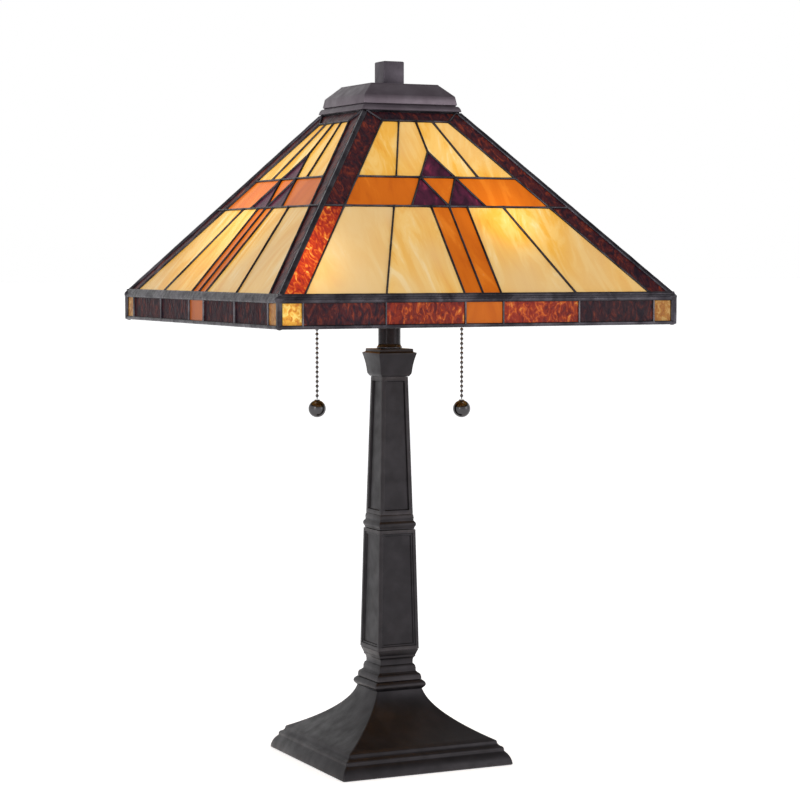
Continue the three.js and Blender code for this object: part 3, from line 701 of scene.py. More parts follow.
def side_fractions(start, end, joints):
    """Where the points of a metal line lie along one side, as shares of its length."""
    length = (end - start).length
    along = (end - start) / length
    stops = {0.0, length}
    for joint in joints:
        reach = (joint - start).dot(along)
        if 0.05 < reach < length - 0.05 and (joint - start - along * reach).length < 0.05:
            stops.add(reach)
    stops = sorted(stops)
    points = []
    for low_end, high_end in zip(stops, stops[1:]):
        span = high_end - low_end
        points.append(low_end)
        if span < 5:
            continue
        near, far = low_end + 1.6, high_end - 1.6
        count = max(1, round((far - near) / CAME_STEP))
        points += [near + (far - near) * i / count for i in range(count + 1)]
    return [p / length for p in points]


def came_lattice(pieces, face):
    """The soldered metal lines around every piece of a face: one closed body, in the face's own frame."""
    joints = [corner for _, _, corners in pieces for corner in corners]
    vertices, faces = [], []
    for _, _, corners in pieces:
        count = len(corners)
        kinds = edge_kinds(face, corners)
        shares = [side_fractions(corners[i], corners[(i + 1) % count], joints) for i in range(count)]
        start = offset_inside(corners, [CAME_START[k] for k in kinds])
        loops = []
        for inset, outward, share in CAME_RINGS:
            edge = offset_inside(corners, [CAME_START[k] + inset for k in kinds])
            loop = []
            for i in range(count):
                after = (i + 1) % count
                for share_along in shares[i]:
                    crest = start[i].lerp(start[after], share_along)
                    point = edge[i].lerp(edge[after], share_along)
                    near = min((crest - joint).length for joint in joints)
                    drop = math.exp(-((near / 2.4) ** 2))
                    widen = 1 + 0.16 * unevenness(crest, 3.7, 0.16) + 0.3 * drop
                    lift = share * (0.22 * unevenness(crest, 8.1, 0.12) + 0.25 * drop)
                    flat = crest + (point - crest) * widen
                    loop.append((flat.x, flat.y, outward + lift))
            loops.append(loop)
        base = len(vertices)
        loop_vertices, loop_faces = bridge(loops, close_ends=False)
        vertices += loop_vertices
        faces += [tuple(base + i for i in f) for f in loop_faces]
        # The outer edge of the whole lattice is closed from its outer crest to its inner crest.
        size = len(loops[0])
        last = (len(loops) - 1) * size
        at = 0
        for i in range(count):
            for _ in shares[i]:
                if kinds[i] != "seam":
                    after = (at + 1) % size
                    faces.append((base + at, base + last + at, base + last + after, base + after))
                at += 1
    return vertices, faces


def swept_bar(start, end, profile, seed, lift=0.16):
    """A soldered bar: profile(distance, lift) gives its section's points, strung from start to end."""
    start, end = Vector(start), Vector(end)
    length = (end - start).length
    count = max(2, round(length / CAME_STEP))
    loops = []
    for i in range(count + 1):
        at = i / count
        middle = start.lerp(end, at)
        swell = lift * noise.noise(Vector((at * length * 0.09, seed, 2.3)))
        loops.append([middle + offset for offset in profile(swell)])
    return bridge(loops)


def two_sided(first_in, first_out, second_in, second_out, ridge_out, flanks):
    """The section of a bar over the edge where two faces meet, as a function of its swelling."""
    crest = (first_out + second_out) / (1 + first_out.dot(second_out))
    sides = [(first_in, first_out, flanks[0]), (second_in, second_out, flanks[-1])]

    def section(swell):
        first, second = [
            [inward * along + outward * (out + (swell if out > 0 else 0)) for along, out in flank]
            for inward, outward, flank in sides
        ]
        ridge = crest.normalized() * (ridge_out + swell)
        return [ridge, *first, crest * -4.6, *reversed(second)]

    return section


def flank(half, rise):
    """One side of a simple rounded bar, from its ridge out and back under the glass."""
    return [
        (0.36 * half, 0.85 * rise), (0.7 * half, 0.5 * rise), (0.93 * half, 0.05), (half, -0.5),
        (0.98 * half, -0.9), (0.72 * half, -1.0), (0.72 * half, -2.9), (half * 1.02, -3.1),
        (half * 1.02, -3.8), (0.8 * half, -4.3),
    ]


def edge_section(outline, inward, outward):
    """The section of a bar along a free edge, from (outward, inward) points."""
    def section(swell):
        return [outward * (out + (swell if out > 0 else 0)) + inward * up for out, up in outline]

    return section


def lump(centre, radii, seed):
    """A drop of solder."""
    rings, sides = 10, 16
    loops = []
    for i in range(1, rings):
        tilt = math.pi * i / rings
        loop = []
        for j in range(sides):
            angle = 2 * math.pi * j / sides
            way = Vector((math.sin(tilt) * math.cos(angle), math.sin(tilt) * math.sin(angle), math.cos(tilt)))
            swell = 1 + 0.12 * noise.noise(way * 1.7 + Vector((seed, 0, 0)))
            loop.append(Vector(centre) + Vector([w * r * swell for w, r in zip(way, radii)]))
        loops.append(loop)
    return bridge(loops)


slope_list = slope_pieces()
skirt_list = skirt_pieces()
seed = 1.0
for side in SIDES:
    for face, pieces in (("slope", slope_list), ("skirt", skirt_list)):
        for name, kind, corners in pieces:
            sheet = OTHER_SHEETS.get((side, name), kind)
            add_glass(name, sheet, corners, face, side, seed)
            seed += 1.37

lattices = {"slope": came_lattice(slope_list, "slope"), "skirt": came_lattice(skirt_list, "skirt")}
OUT = Vector((0, -1, 0))
UP = Vector((0, 0, 1))
ACROSS = Vector((1, 0, 0))
up_slope = Vector((0, math.cos(SLOPE_ANGLE), math.sin(SLOPE_ANGLE)))
slope_out = Vector((0, -math.sin(SLOPE_ANGLE), math.cos(SLOPE_ANGLE)))
hip_low = Vector((EAVE_HALF, -EAVE_HALF, EAVE_Z))
hip_high = Vector((RIDGE_HALF, -RIDGE_HALF, RIDGE_Z))
hip_along = (hip_high - hip_low).normalized()
quarter = Matrix.Rotation(math.pi / 2, 3, "Z")
hip_in_front = (-ACROSS - hip_along * -ACROSS.dot(hip_along)).normalized()
hip_in_front = (hip_in_front - slope_out * hip_in_front.dot(slope_out)).normalized()
hip_in_right = quarter @ Vector((-hip_in_front.x, hip_in_front.y, hip_in_front.z))
RIM_OUTLINE = [
    (-1.9, -0.15), (-0.4, 0.0), (0.5, 0.35), (0.85, 1.0), (0.85, 2.2), (0.45, 2.9), (-0.9, 3.1),
    (-1.0, 0.9), (-3.1, 0.9), (-3.2, 3.0), (-4.0, 2.9), (-4.4, 2.2), (-4.4, 1.0), (-3.6, 0.1),
]
# Over the bend: the came under the slope's glass, a groove, and the came over the skirt's glass.
FLANK_BACK = [
    (4.1, 0.2), (4.2, -0.5), (4.1, -0.9), (3.0, -1.0), (3.0, -2.9), (3.9, -3.1), (3.9, -3.8), (3.0, -4.3),
]
UPPER_FLANK = [(0.7, 0.35), (1.2, 0.55), (1.9, 0.95), (2.8, 1.05), (3.6, 0.8), *FLANK_BACK]
LOWER_FLANK = [(0.6, 0.4), (1.1, 0.75), (1.9, 1.1), (2.9, 1.1), (3.7, 0.75), *FLANK_BACK]
TOP_OUTLINE = [(min(outward, 0.2), inward) for outward, inward in RIM_OUTLINE]
hip_section = two_sided(hip_in_front, slope_out, hip_in_right, quarter @ slope_out, 0.9, [flank(3.3, 0.9)])
corner_section = two_sided(-ACROSS, OUT, Vector((0, 1, 0)), ACROSS, 1.1, [flank(3.9, 1.1)])
eave_section = two_sided(up_slope, slope_out, -UP, OUT, 0.45, [UPPER_FLANK, LOWER_FLANK])
rim_section = edge_section(RIM_OUTLINE, UP, OUT)
top_section = edge_section(TOP_OUTLINE, -up_slope, slope_out)
for i, side in enumerate(SIDES):
    turn = Matrix.Rotation(i * math.pi / 2, 4, "Z")
    for face in ("slope", "skirt"):
        part = moved(lattices[face], face_frame(i, face))
        # The skirt's cames take the lighter copy of the solder: a painted highlight.
        solder = SOLDER if face == "slope" else PAINTED_LIT_SOLDER
        add_piece(f"{face}_leading_{side}", "shade", solder, [part], [f"{face}_cames_{side}"], 60)
    ends = Vector((EAVE_HALF - 0.4, 0, 0))
    middle = OUT * EAVE_HALF + UP * EAVE_Z
    eave = swept_bar(middle - ends, middle + ends, eave_section, i + BAR_SEEDS["eave"])
    middle = OUT * EAVE_HALF + UP * RIM_Z
    rim = swept_bar(middle - ends, middle + ends, rim_section, i + BAR_SEEDS["rim"])
    ends = Vector((RIDGE_HALF - 1, 0, 0))
    middle = OUT * RIDGE_HALF + UP * RIDGE_Z
    top = swept_bar(middle - ends, middle + ends, top_section, i + BAR_SEEDS["top"])
    for edge, bar in (("eave", eave), ("rim", rim), ("top", top)):
        add_piece(f"{edge}_came_{side}", "shade", SOLDER, [moved(bar, turn)], sharp=60)
    corner = CORNERS[i]
    hip_end = hip_high - hip_along * 3.4
    hip = swept_bar(hip_low + hip_along, hip_end, hip_section, i + BAR_SEEDS["hip"], 0.2)
    post_low = Vector((EAVE_HALF, -EAVE_HALF, RIM_Z + 0.4))
    post_high = post_low + UP * (SKIRT_HEIGHT - 0.8)
    post = swept_bar(post_low, post_high, corner_section, i + BAR_SEEDS["corner"])
    drops = []
    for up, radius in ((RIM_Z + 1.8, 3.2), (EAVE_Z - 1.4, 4.1)):
        centre = (EAVE_HALF - 1.9, 1.9 - EAVE_HALF, up)
        drops.append(lump(centre, (radius, radius, radius * 0.8), i + up))
    add_piece(f"hip_leading_{corner}", "shade", SOLDER, [moved(hip, turn)], [f"hip_came_{corner}"], 60)
    add_piece(f"corner_leading_{corner}", "shade", SOLDER, [moved(post, turn)], sharp=60)
    add_piece(f"corner_solder_{corner}", "shade", SOLDER, [moved(drop, turn) for drop in drops], sharp=60)


# ---- foot and column
def hollow_square(name, outline, inside_half, top_thickness):
    """A bored square moulding that stands for a CAD node, from an outline of (half width, height) points."""
    low_end, high_end = outline[0][1], outline[-1][1]
    bore = [(BORE_HALF, high_end), (BORE_HALF, high_end - top_thickness)]
    inside = [(inside_half, high_end - top_thickness), (inside_half, low_end)]
    part = square_moulding([*outline, *bore, *inside], close_loop=True)
    return add_piece(name + "_casting", "base", BRONZE, [part], [name], 38)


def panel_depth(distance, steps):
    """How deep a recessed panel is at a distance from the edge of its face."""
    for (near, near_depth), (far, far_depth) in zip(steps, steps[1:]):
        if distance <= far:
            return near_depth + (far_depth - near_depth) * (distance - near) / (far - near)
    return steps[-1][1]


def shaft_loop(half, up, end_distance, steps):
    """One ring of a square shaft with a recessed panel in each side."""
    corner = 0.7
    inner = [distance for distance, _ in steps[1:]]
    across = [-half + corner]
    across += [-half + distance for distance in inner]
    across += [half - distance for distance in reversed(inner)]
    across.append(half - corner)
    loop = []
    for quarter_turns in range(4):
        turn = Matrix.Rotation(quarter_turns * math.pi / 2, 3, "Z")
        for x in across:
            depth = panel_depth(min(half - abs(x), end_distance), steps)
            loop.append(turn @ Vector((x, -half + depth, up)))
        for i in (1, 2):
            angle = -math.pi / 2 + math.pi / 2 * i / 3
            x = half - corner + corner * math.cos(angle)
            y = corner - half + corner * math.sin(angle)
            loop.append(turn @ Vector((x, y, up)))
    return loop


def panelled_shaft(name, low_half, high_half, inside_half, side_steps):
    """A tapering hollow shaft whose sides step down, over (distance, depth) steps, to a flat panel."""
    low_end, high_end = low(name).z, high(name).z
    height = high_end - low_end
    heights = {low_end, high_end}
    for distance, _ in side_steps[1:]:
        heights |= {low_end + distance, high_end - distance}
    inner_low, inner_high = low_end + side_steps[-1][0], high_end - side_steps[-1][0]
    heights |= {inner_low + (inner_high - inner_low) * i / 12 for i in range(13)}
    loops = []
    for up in sorted(heights):
        half = low_half + (high_half - low_half) * (up - low_end) / height
        loops.append(shaft_loop(half, up, min(up - low_end, high_end - up), side_steps))
    bore_end = high_end - 4
    inside = [(BORE_HALF, high_end), (BORE_HALF, bore_end), (inside_half, bore_end), (inside_half, low_end)]
    for half, up in inside:
        reach = half / low_half
        loops.append(shaft_loop(half, up, 0, [(distance * reach, 0.0) for distance, _ in side_steps]))
    part = bridge(loops, close_ends=False, close_loop=True)
    return add_piece(name + "_casting", "base", BRONZE, [part], [name], 25)


BORE_HALF = 5.4
FOOT_LOW = low("base_foot").z
FOOT_TOP = high("base_foot").z
COLLAR = (low("base_collar").z, high("base_collar").z)
BAND = (low("column_band").z, high("column_band").z)
CAPITAL = (low("capital").z, high("capital").z)


def flare(distance):
    """The sweep of the foot's side, or the same sweep a distance inside it."""
    points = [(69.2, 20.4), (27.9, 40.7), (21.7, 61)]
    start, control, end = [(half - distance, up - distance) for half, up in points]
    return [start, *curve(start, control, end, 18)]


foot_outline = [(79.1, FOOT_LOW), (79.8, FOOT_LOW + 0.5)]
foot_outline += curve((79.8, FOOT_LOW + 0.5), (79.2, 7.4), (74.8, 11.3), 12)
foot_outline += [(74.3, 12.0), *curve((74.3, 12.0), (74.4, 14.6), (73.2, 15.4), 5)]
foot_outline += [*curve((72.8, 15.6), (70.6, 16.2), (69.9, 18.4), 5), (69.6, 19.8)]
foot_outline += flare(0)
foot_outline += [(21.6, 61.3), (22.1, 62.0), *curve((22.1, 62.0), (26.2, 65.4), (22.0, FOOT_TOP - 0.3), 9)]
foot_outline += [(21.6, FOOT_TOP), (BORE_HALF, FOOT_TOP), (BORE_HALF, 61)]
foot_outline += [*reversed(flare(5)), (70, 9), (73.5, 4), (73.5, FOOT_LOW)]
foot_part = square_moulding(foot_outline, 1.6, True)
foot = add_piece("base_foot_casting", "base", BRONZE, [foot_part], ["base_foot"], 38)

outlet = low("cord_bushing").lerp(high("cord_bushing"), 0.5)
drill_part = turned([(0, -16), (3.9, -16), (3.9, 16), (0, 16)], 32)
drill_place = Matrix.Translation((0, outlet.y, outlet.z)) @ Matrix.Rotation(math.pi / 2, 4, "X")
drill = add_piece("outlet_drill", "base", BRONZE, [moved(drill_part, drill_place)])
hole = foot.modifiers.new("outlet", "BOOLEAN")
hole.operation = "DIFFERENCE"
hole.object = drill
bpy.context.view_layer.update()
depsgraph = bpy.context.evaluated_depsgraph_get()
drilled = bpy.data.meshes.new_from_object(foot.evaluated_get(depsgraph))
foot.modifiers.clear()
foot.data = drilled
bpy.data.objects.remove(drill)

collar_outline = [(20.8, COLLAR[0]), (21.1, COLLAR[0] + 0.4), (20.9, 72.0)]
collar_outline += curve((20.9, 72.0), (20.6, 74.6), (18.6, 75.2), 5) + [(18.3, 75.8)]
collar_outline += [(17.7, 76.2), *curve((17.7, 76.2), (17.5, 76.3), (17.4, 77.0), 3), (17.4, 79.0)]
collar_outline += curve((17.4, 79.0), (17.0, 82.2), (15.5, 82.9), 6) + [(15.4, 83.4), (15.4, 85.2)]
collar_outline += curve((15.4, 85.2), (15.5, 88.2), (16.8, 88.9), 6)
collar_outline += [(17.1, 89.3), (17.1, 90.9), (17.5, 91.4), (18.9, COLLAR[1] - 0.5), (18.7, COLLAR[1])]
hollow_square("base_collar", collar_outline, 8, 4)

band_outline = [(16.1, BAND[0]), (16.4, BAND[0] + 0.3), (16.4, 201.4), (16.9, 202.2)]
band_outline += curve((16.9, 202.2), (18.2, 204.3), (16.8, 206.2), 8)
band_outline += [(16.1, 206.9), (15.9, 207.4), (15.9, 209.0), (16.1, 209.5), (15.7, 212.2), (15.4, BAND[1])]
hollow_square("column_band", band_outline, 10, 3)

capital_outline = [(13.0, CAPITAL[0]), (13.3, CAPITAL[0] + 0.4), (14.4, 334.0), (14.6, 334.5), (14.9, 336.2)]
capital_outline += curve((14.9, 336.2), (15.5, 343.5), (17.8, 351.2), 8)
capital_outline += [(17.9, 351.7), (17.9, 352.3), (17.6, 352.6), (16.2, 352.9), (15.8, 353.3)]
capital_outline += [(15.7, 353.8), (15.7, CAPITAL[1] - 0.4), (15.3, CAPITAL[1])]
hollow_square("capital", capital_outline, 9, 4)

panelled_shaft("lower_column", 19.3, 17.1, 12, [(0, 0), (3.0, 0), (3.4, 0.8), (4.7, 0.8), (5.1, 1.7)])
panelled_shaft("upper_column", 15.4, 12.2, 8, [(0, 0), (3.6, 0), (4.2, 1.5)])

felt_low, felt_high = low("felt_pad"), high("felt_pad")
pad = [(69, felt_low.z), (71.6, felt_low.z), (72, 0.4), (72, 1.2), (71.7, felt_high.z), (69, felt_high.z)]
pad_part = bridge([square_loop(half, up, 2.0) for half, up in pad])
add_piece("felt_pad_sheet", "base", FELT, [pad_part], ["felt_pad"])


# ---- pipe, neck, stem
def turned_piece(name, node, body, material, outline, place=None, sides=48, sharp=35):
    """A solid of revolution that stands for a CAD node."""
    part = turned(outline, sides)
    if place:
        part = moved(part, place)
    add_piece(name, body, material, [part], [node], sharp)


neck_low, neck_high = low("neck_tube").z, high("neck_tube").z
neck_outline = [(8, neck_low), (10.6, neck_low), (10.9, neck_low + 0.3), (10.9, neck_low + 1.2)]
neck_outline += curve((10.9, neck_low + 1.2), (9.9, neck_low + 2.0), (9.7, neck_low + 4), 5)
neck_outline += [(9.7, neck_high - 0.3), (9.4, neck_high), (8, neck_high), (8, neck_low)]
turned_piece("neck_tube_turned", "neck_tube", "base", NECK_BRONZE, neck_outline)

stem_low, stem_high = low("stem_rod").z, high("stem_rod").z
shoulder = high("cluster_body").z + 0.3
stem_outline = [(0, stem_low), (4.85, stem_low), (4.85, shoulder), (7.8, shoulder), (8, shoulder + 0.3)]
stem_outline += [(8, shoulder + 3.6), (7.7, shoulder + 4), (3.4, shoulder + 4.6), (3.175, shoulder + 5.2)]
thread_up = 541.0
while thread_up < 558:
    stem_outline += [(3.175, thread_up), (2.85, thread_up + 0.47)]
    thread_up += 0.94
stem_outline += [(3.175, 560), (3.175, stem_high - 0.5), (2.7, stem_high), (0, stem_high)]
turned_piece("stem_rod_turned", "stem_rod", "base", STEEL, stem_outline, sides=32)

seat_low, seat_high = low("seat_nut").z, high("seat_nut").z
seat_outline = [(3.6, seat_low), (8.6, seat_low), (9, seat_low + 0.4), (9, seat_high - 0.4), (8.6, seat_high)]
seat_outline += [(3.6, seat_high), (3.6, seat_low)]
turned_piece("seat_nut_turned", "seat_nut", "base", BRASS, seat_outline)

# ---- light cluster
def arm_turn(arm):
    """The direction of an arm in plan, from the X axis."""
    return CLUSTER_TURN + (0 if arm > 0 else math.pi)


def socket_place(arm):
    """From a socket's own frame, with Z out along the socket, to the lamp, in millimetres."""
    turn = arm_turn(arm)
    lean = Matrix.Rotation(math.pi / 2 - SOCKET_RISE, 4, "Y")
    return Matrix.Translation((0, 0, CLUSTER_Z)) @ Matrix.Rotation(turn, 4, "Z") @ lean


cluster_low, cluster_high = low("cluster_body").z, high("cluster_body").z
cluster_outline = [(5.15, cluster_low), (11.6, cluster_low)]
cluster_outline += curve((11.6, cluster_low), (14.8, cluster_low), (15, cluster_low + 4), 6)
cluster_outline += [(15.0, 398.2), (15.4, 398.6), (15.4, 399.4), (15.0, 399.8), (15, cluster_high - 3.4)]
cluster_outline += curve((15, cluster_high - 3.4), (14.8, cluster_high), (11.6, cluster_high), 6)
cluster_outline += [(5.15, cluster_high), (5.15, cluster_low)]
cluster_parts = [turned(cluster_outline)]
nipple_outline = [(0, 9), (4.8, 9), (4.8, 16), (6.2, 16.4), (6.2, 18.8), (4.8, 19.2)]
nipple_outline += [(4.8, 26.6), (4.4, 27), (0, 27)]
for arm in ARMS.values():
    cluster_parts.append(moved(turned(nipple_outline, 32), socket_place(arm)))
add_piece("cluster_body_turned", "base", BRONZE, cluster_parts, ["cluster_body"])

CAP_OUTLINE = [(5.15, 20.5), (8.6, 20.5), (9.2, 20.8), *curve((9.2, 20.8), (13.2, 21.4), (15.4, 24.2), 6)]
CAP_OUTLINE += [*curve((15.4, 24.2), (17.1, 26.6), (17.5, 30), 6), (17.5, 32.6), (17.9, 33.0), (17.9, 33.7)]
CAP_OUTLINE += [(16.2, 33.7), (15.9, 27.8), (13, 24.3), (8.6, 22.5), (5.15, 22.5), (5.15, 20.5)]
SHELL_OUTLINE = [(16.4, 34), (17.5, 34), (17.5, 46.8), (17.9, 47.2), (17.9, 48.0), (17.5, 48.4), (17.5, 63.4)]
SHELL_OUTLINE += [*curve((17.5, 63.4), (18.9, 65.4), (17.5, 67.2), 6), (16.4, 67.2), (16.4, 34)]
INTERIOR_OUTLINE = [(0, 35), (15.7, 35), (16, 35.3), (16, 46.7), (15.7, 47), (14.9, 47), (14.9, 64)]
INTERIOR_OUTLINE += [(13.9, 64), (13.9, 48.2), (0, 48.2)]
GUIDE_OUTLINE = [(1.95, 0), (2.7, 0), (2.7, 3.6), (2.9, 4.6), *curve((2.9, 4.6), (3.1, 6.6), (4.4, 8.2), 5)]
GUIDE_OUTLINE += [(4.3, 8.5), (3.7, 8.5), *curve((3.7, 8.5), (2.4, 7.0), (2.2, 5), 5), (1.95, 4), (1.95, 0)]
BULB_BASE_OUTLINE = [(0, 48.6), (3.6, 48.6), (4.4, 49.0), (5.2, 50.2), (10.6, 51.4), (11.6, 52.4)]
for ridge in range(4):
    at = 53.2 + ridge * 3.6
    BULB_BASE_OUTLINE += [(11.9, at), (12.5, at + 0.7), (13.0, at + 1.8), (12.5, at + 2.9)]
BULB_BASE_OUTLINE += [(12.2, 67.9), (12.9, 68.4), (12.9, 70), (0, 70)]


def bulb_outline(wall):
    """The bulb's envelope from its neck to its tip, or the inside of it."""
    neck, globe = 12.8 - wall, 24 - wall
    outline = [(neck, 70.3), (neck, 72.3)]
    for i in range(1, 15):
        t = i / 14
        radius = ((1 - t) ** 3 + 3 * t * (1 - t) ** 2) * neck + (3 * t * t * (1 - t) + t**3) * globe
        along = (1 - t) ** 3 * 72.3 + 3 * t * (1 - t) ** 2 * 86 + 3 * t * t * (1 - t) * 90 + t**3 * GLOBE_AT
        outline.append((radius, along))
    for i in range(1, 15):
        angle = math.pi / 2 * i / 14
        outline.append((globe * math.cos(angle) if i < 14 else 0, GLOBE_AT + globe * math.sin(angle)))
    return outline


BULB_ENVELOPE = bulb_outline(0) + bulb_outline(0.8)[::-1] + [bulb_outline(0)[0]]
for side_name, arm in ARMS.items():
    place = socket_place(arm)
    guide_place = place @ Matrix.Translation((17.8, 0, 57)) @ Matrix.Rotation(math.pi / 2, 4, "Y")
    # Each row: the piece, its CAD node, body, material, outline, place, sides and sharp angle.
    rows = [
        ("socket_cap_turned", "socket_cap", "base", BRASS, CAP_OUTLINE, place, 48, 35),
        ("socket_shell_turned", "socket_shell", "base", BRASS, SHELL_OUTLINE, place, 48, 35),
        ("socket_interior_moulded", "socket_interior", "base", PHENOLIC, INTERIOR_OUTLINE, place, 48, 35),
        ("chain_guide_turned", "chain_guide", "base", BRASS, GUIDE_OUTLINE, guide_place, 28, 35),
        ("bulb_base_ribbed", "bulb_base", f"bulb_screw_{side_name}", BRASS, BULB_BASE_OUTLINE, place, 48, 35),
        ("bulb_glass_blown", "bulb_glass", f"bulb_{side_name}", BULB, BULB_ENVELOPE, place, 56, 60),
    ]
    for piece, node, *rest in rows:
        turned_piece(f"{piece}_{side_name}", f"{node}_{side_name}", *rest)

# ---- pull chains
BEAD_R = 1.45
BEAD_PITCH = 4.1
LINK_R = 0.45
CHAIN_TOP = 401
CHAIN_OUT = 62.5
BALL_R = 7.55
CHAIN_RUNS = {"upper": (0, 1), "middle": (2, 3), "lower": (4, 21)}
CHAIN_BODIES = {"upper": "chain_pull", "middle": "chain_link", "lower": "chain_drop"}


def chain_outline(run, top_end, low_end):
    """Hollow beads on short links, from the bottom up."""
    first, last = CHAIN_RUNS[run]
    waist = math.asin(LINK_R / BEAD_R)
    outline = [(0, low_end), (LINK_R, low_end)]
    for bead in range(last, first - 1, -1):
        middle = CHAIN_TOP - bead * BEAD_PITCH
        for i in range(9):
            angle = waist - math.pi / 2 + (math.pi - 2 * waist) * i / 8
            outline.append((BEAD_R * math.cos(angle), middle + BEAD_R * math.sin(angle)))
    return outline + [(LINK_R, top_end), (0, top_end)]


for side_name, arm in ARMS.items():
    turn = arm_turn(arm)
    place = Matrix.Translation((CHAIN_OUT * math.cos(turn), CHAIN_OUT * math.sin(turn), 0))
    for run in CHAIN_RUNS:
        node = f"chain_{run}_{side_name}"
        outline = chain_outline(run, high(node).z, low(node).z)
        turned_piece(f"bead_{node}", node, f"{CHAIN_BODIES[run]}_{side_name}", NICKEL, outline, place, 14, 50)
    node = f"chain_ball_{side_name}"
    ball_middle, ball_top = low(node).z + BALL_R, high(node).z
    ball = []
    for i in range(19):
        angle = -math.pi / 2 + (math.pi / 2 + math.acos(2.4 / BALL_R)) * i / 18
        ball.append((BALL_R * math.cos(angle) if i else 0, ball_middle + BALL_R * math.sin(angle)))
    ball += [(2.4, ball_top - 0.4), (2.1, ball_top), (0, ball_top)]
    turned_piece(f"pull_ball_{side_name}", node, f"chain_drop_{side_name}", NICKEL, ball, place, 40)

# ---- cap and finial
cap_low, cap_high = low("vase_cap").z, high("vase_cap").z
cap_outline = [(46.0, cap_low), (46.4, cap_low + 0.4), (46.2, 558.5)]
cap_outline += curve((46.2, 558.5), (45.9, 560.4), (44.6, 561.8), 4)
cap_outline += [(44.0, 562.1), (42.9, 562.2), (42.7, 562.6), (42.9, 563.0), (43.5, 563.3), (43.6, 563.7)]
cap_outline += [(42.4, 570.2), (41.9, 571.0), (32.8, 579.6), (32.1, 580.1), (31.8, 580.7), (31.4, cap_high)]
cap_outline += [(3.6, cap_high), (3.6, 578.6), (30.6, 578.6), (40.2, 569.6), (41.4, 558.7)]
cap_outline += [(45.0, 558.7), (45.0, cap_low)]
cap_part = square_moulding(cap_outline, 1.3, True)
add_piece("vase_cap_spun", "shade", CAP_BRONZE, [cap_part], ["vase_cap"], 38)

knob_low, knob_high = low("finial_knob").z, high("finial_knob").z
knob_half = high("finial_knob").x
knob_outline = [(knob_half - 0.5, knob_low), (knob_half - 0.1, knob_low + 0.15), (knob_half, knob_low + 0.6)]
knob_outline += [(knob_half, knob_high - 0.9), (knob_half - 0.25, knob_high - 0.3)]
knob_outline += [(knob_half - 0.9, knob_high)]
knob_loops = [square_loop(out, up, 0.9) for out, up in knob_outline]
ways = [math.atan2(p.y, p.x) for p in knob_loops[0]]
KNOB_BORE = 5.3
KNOB_BORE_TOP = 594.3
bore_loops = []
for up in (KNOB_BORE_TOP, knob_low):
    bore_loops.append([Vector((KNOB_BORE * math.cos(way), KNOB_BORE * math.sin(way), up)) for way in ways])
knob_part = bridge(bore_loops + knob_loops)
add_piece("finial_knob_block", "finial", KNOB_BRONZE, [knob_part], ["finial_knob"], 38)

# ---- CAD pieces that show as they are
KEPT = {
    "base_ballast": IRON,
    "base_washer": STEEL,
    "base_nut": STEEL,
    "cord_bushing": PHENOLIC,
    "threaded_pipe": STEEL,
    "shade_spider": BRASS,
    "finial_insert": BRASS,
}
for node, material in KEPT.items():
    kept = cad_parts[node]
    kept.data.materials.clear()
    kept.data.materials.append(material)
    bevel = kept.modifiers.new("edges", "BEVEL")
    bevel.width = 0.25 * MM
    bevel.segments = 2
    bevel.limit_method = "ANGLE"
    bevel.angle_limit = math.radians(40)

# ---- floor, light and camera
FLOOR_HALF = 40  # in metres: wide enough to meet the white surroundings in every view
floor_mesh = bpy.data.meshes.new("floor")
floor_corners = [(x * FLOOR_HALF, y * FLOOR_HALF, 0) for x, y in ((-1, -1), (1, -1), (1, 1), (-1, 1))]
floor_mesh.from_pydata(floor_corners, [], [(0, 1, 2, 3)])
floor_mesh.materials.append(floor_material())
floor = bpy.data.objects.new("floor", floor_mesh)
bpy.context.scene.collection.objects.link(floor)
floor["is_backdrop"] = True


LIGHT_AIM = Vector((0, 0, 0.3))


def soft_light(name, place, size, power):
    """A rectangular light, in metres and watts, that faces the middle of the lamp."""
    data = bpy.data.lights.new(name, "AREA")
    data.shape = "RECTANGLE"
    data.size, data.size_y = size
    data.energy = power
    light = bpy.data.objects.new(name, data)
    light.location = place
    light.rotation_euler = (LIGHT_AIM - Vector(place)).to_track_quat("-Z", "Y").to_euler()
    bpy.context.scene.collection.objects.link(light)


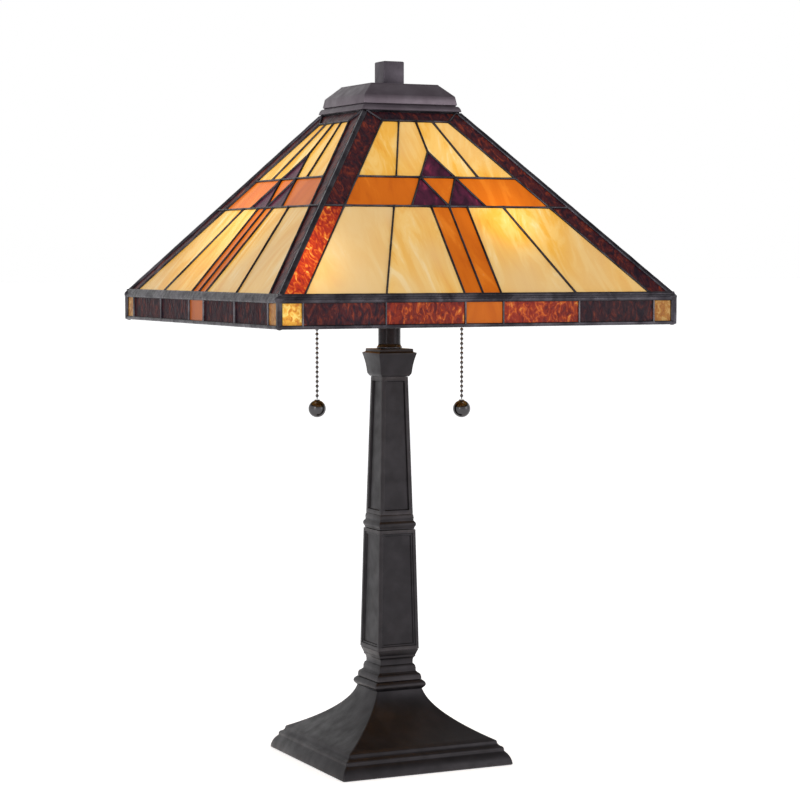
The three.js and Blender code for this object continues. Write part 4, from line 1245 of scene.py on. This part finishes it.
soft_light("key", (-2.4, -1.6, 1.5), (1.6, 1.6), 7)
soft_light("fill", (2.0, -2.4, 1.0), (1.8, 1.8), 16)
soft_light("edge_strip", (-2.02, -1.47, 0.75), (0.25, 1.3), 5)
soft_light("top", (0.2, 0.4, 2.8), (2.0, 2.0), 4)

# The surroundings are white around the horizon and darker overhead.
world = bpy.data.worlds.new("studio")
world.use_nodes = True
tree = world.node_tree
direction = tree.nodes.new("ShaderNodeTexCoord")
split = tree.nodes.new("ShaderNodeSeparateXYZ")
sky = tree.nodes.new("ShaderNodeValToRGB")
sky.color_ramp.elements[0].color = (1.0, 1.0, 1.0, 1)
sky.color_ramp.elements[0].position = 0.25
sky.color_ramp.elements[1].color = (0.24, 0.24, 0.25, 1)
sky.color_ramp.elements[1].position = 0.9
tree.links.new(direction.outputs["Generated"], split.inputs[0])
tree.links.new(split.outputs["Z"], sky.inputs["Fac"])
tree.links.new(sky.outputs["Color"], tree.nodes["Background"].inputs["Color"])
bpy.context.scene.world = world
bpy.context.scene.view_settings.view_transform = "Standard"

VIEW_TURN = math.radians(-25.27)
VIEW_HEIGHT = 0.4324
VIEW_DISTANCE = 2.0227
VIEW_TILT = math.radians(-3.43)
VIEW_YAW = math.radians(-25.53)
LENS_MM = 105.4
SENSOR_MM = 36
camera_data = bpy.data.cameras.new("camera")
camera_data.lens = LENS_MM
camera_data.sensor_width = SENSOR_MM
camera = bpy.data.objects.new("camera", camera_data)
camera.location = (VIEW_DISTANCE * math.sin(VIEW_TURN), -VIEW_DISTANCE * math.cos(VIEW_TURN), VIEW_HEIGHT)
level = math.cos(VIEW_TILT)
ahead = Vector((-math.sin(VIEW_YAW) * level, math.cos(VIEW_YAW) * level, math.sin(VIEW_TILT)))
camera.rotation_euler = ahead.to_track_quat("-Z", "Y").to_euler()
bpy.context.scene.collection.objects.link(camera)
bpy.context.scene.camera = camera

bpy.context.view_layer.update()
look_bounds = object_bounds()


def plain(value):
    """Bounds as plain lists of numbers."""
    if isinstance(value, dict):
        return {key: plain(item) for key, item in value.items()}
    if isinstance(value, (int, float, str)) or value is None:
        return value
    return [plain(item) for item in value]


{"cad": plain(cad_bounds), "look": plain(look_bounds)}
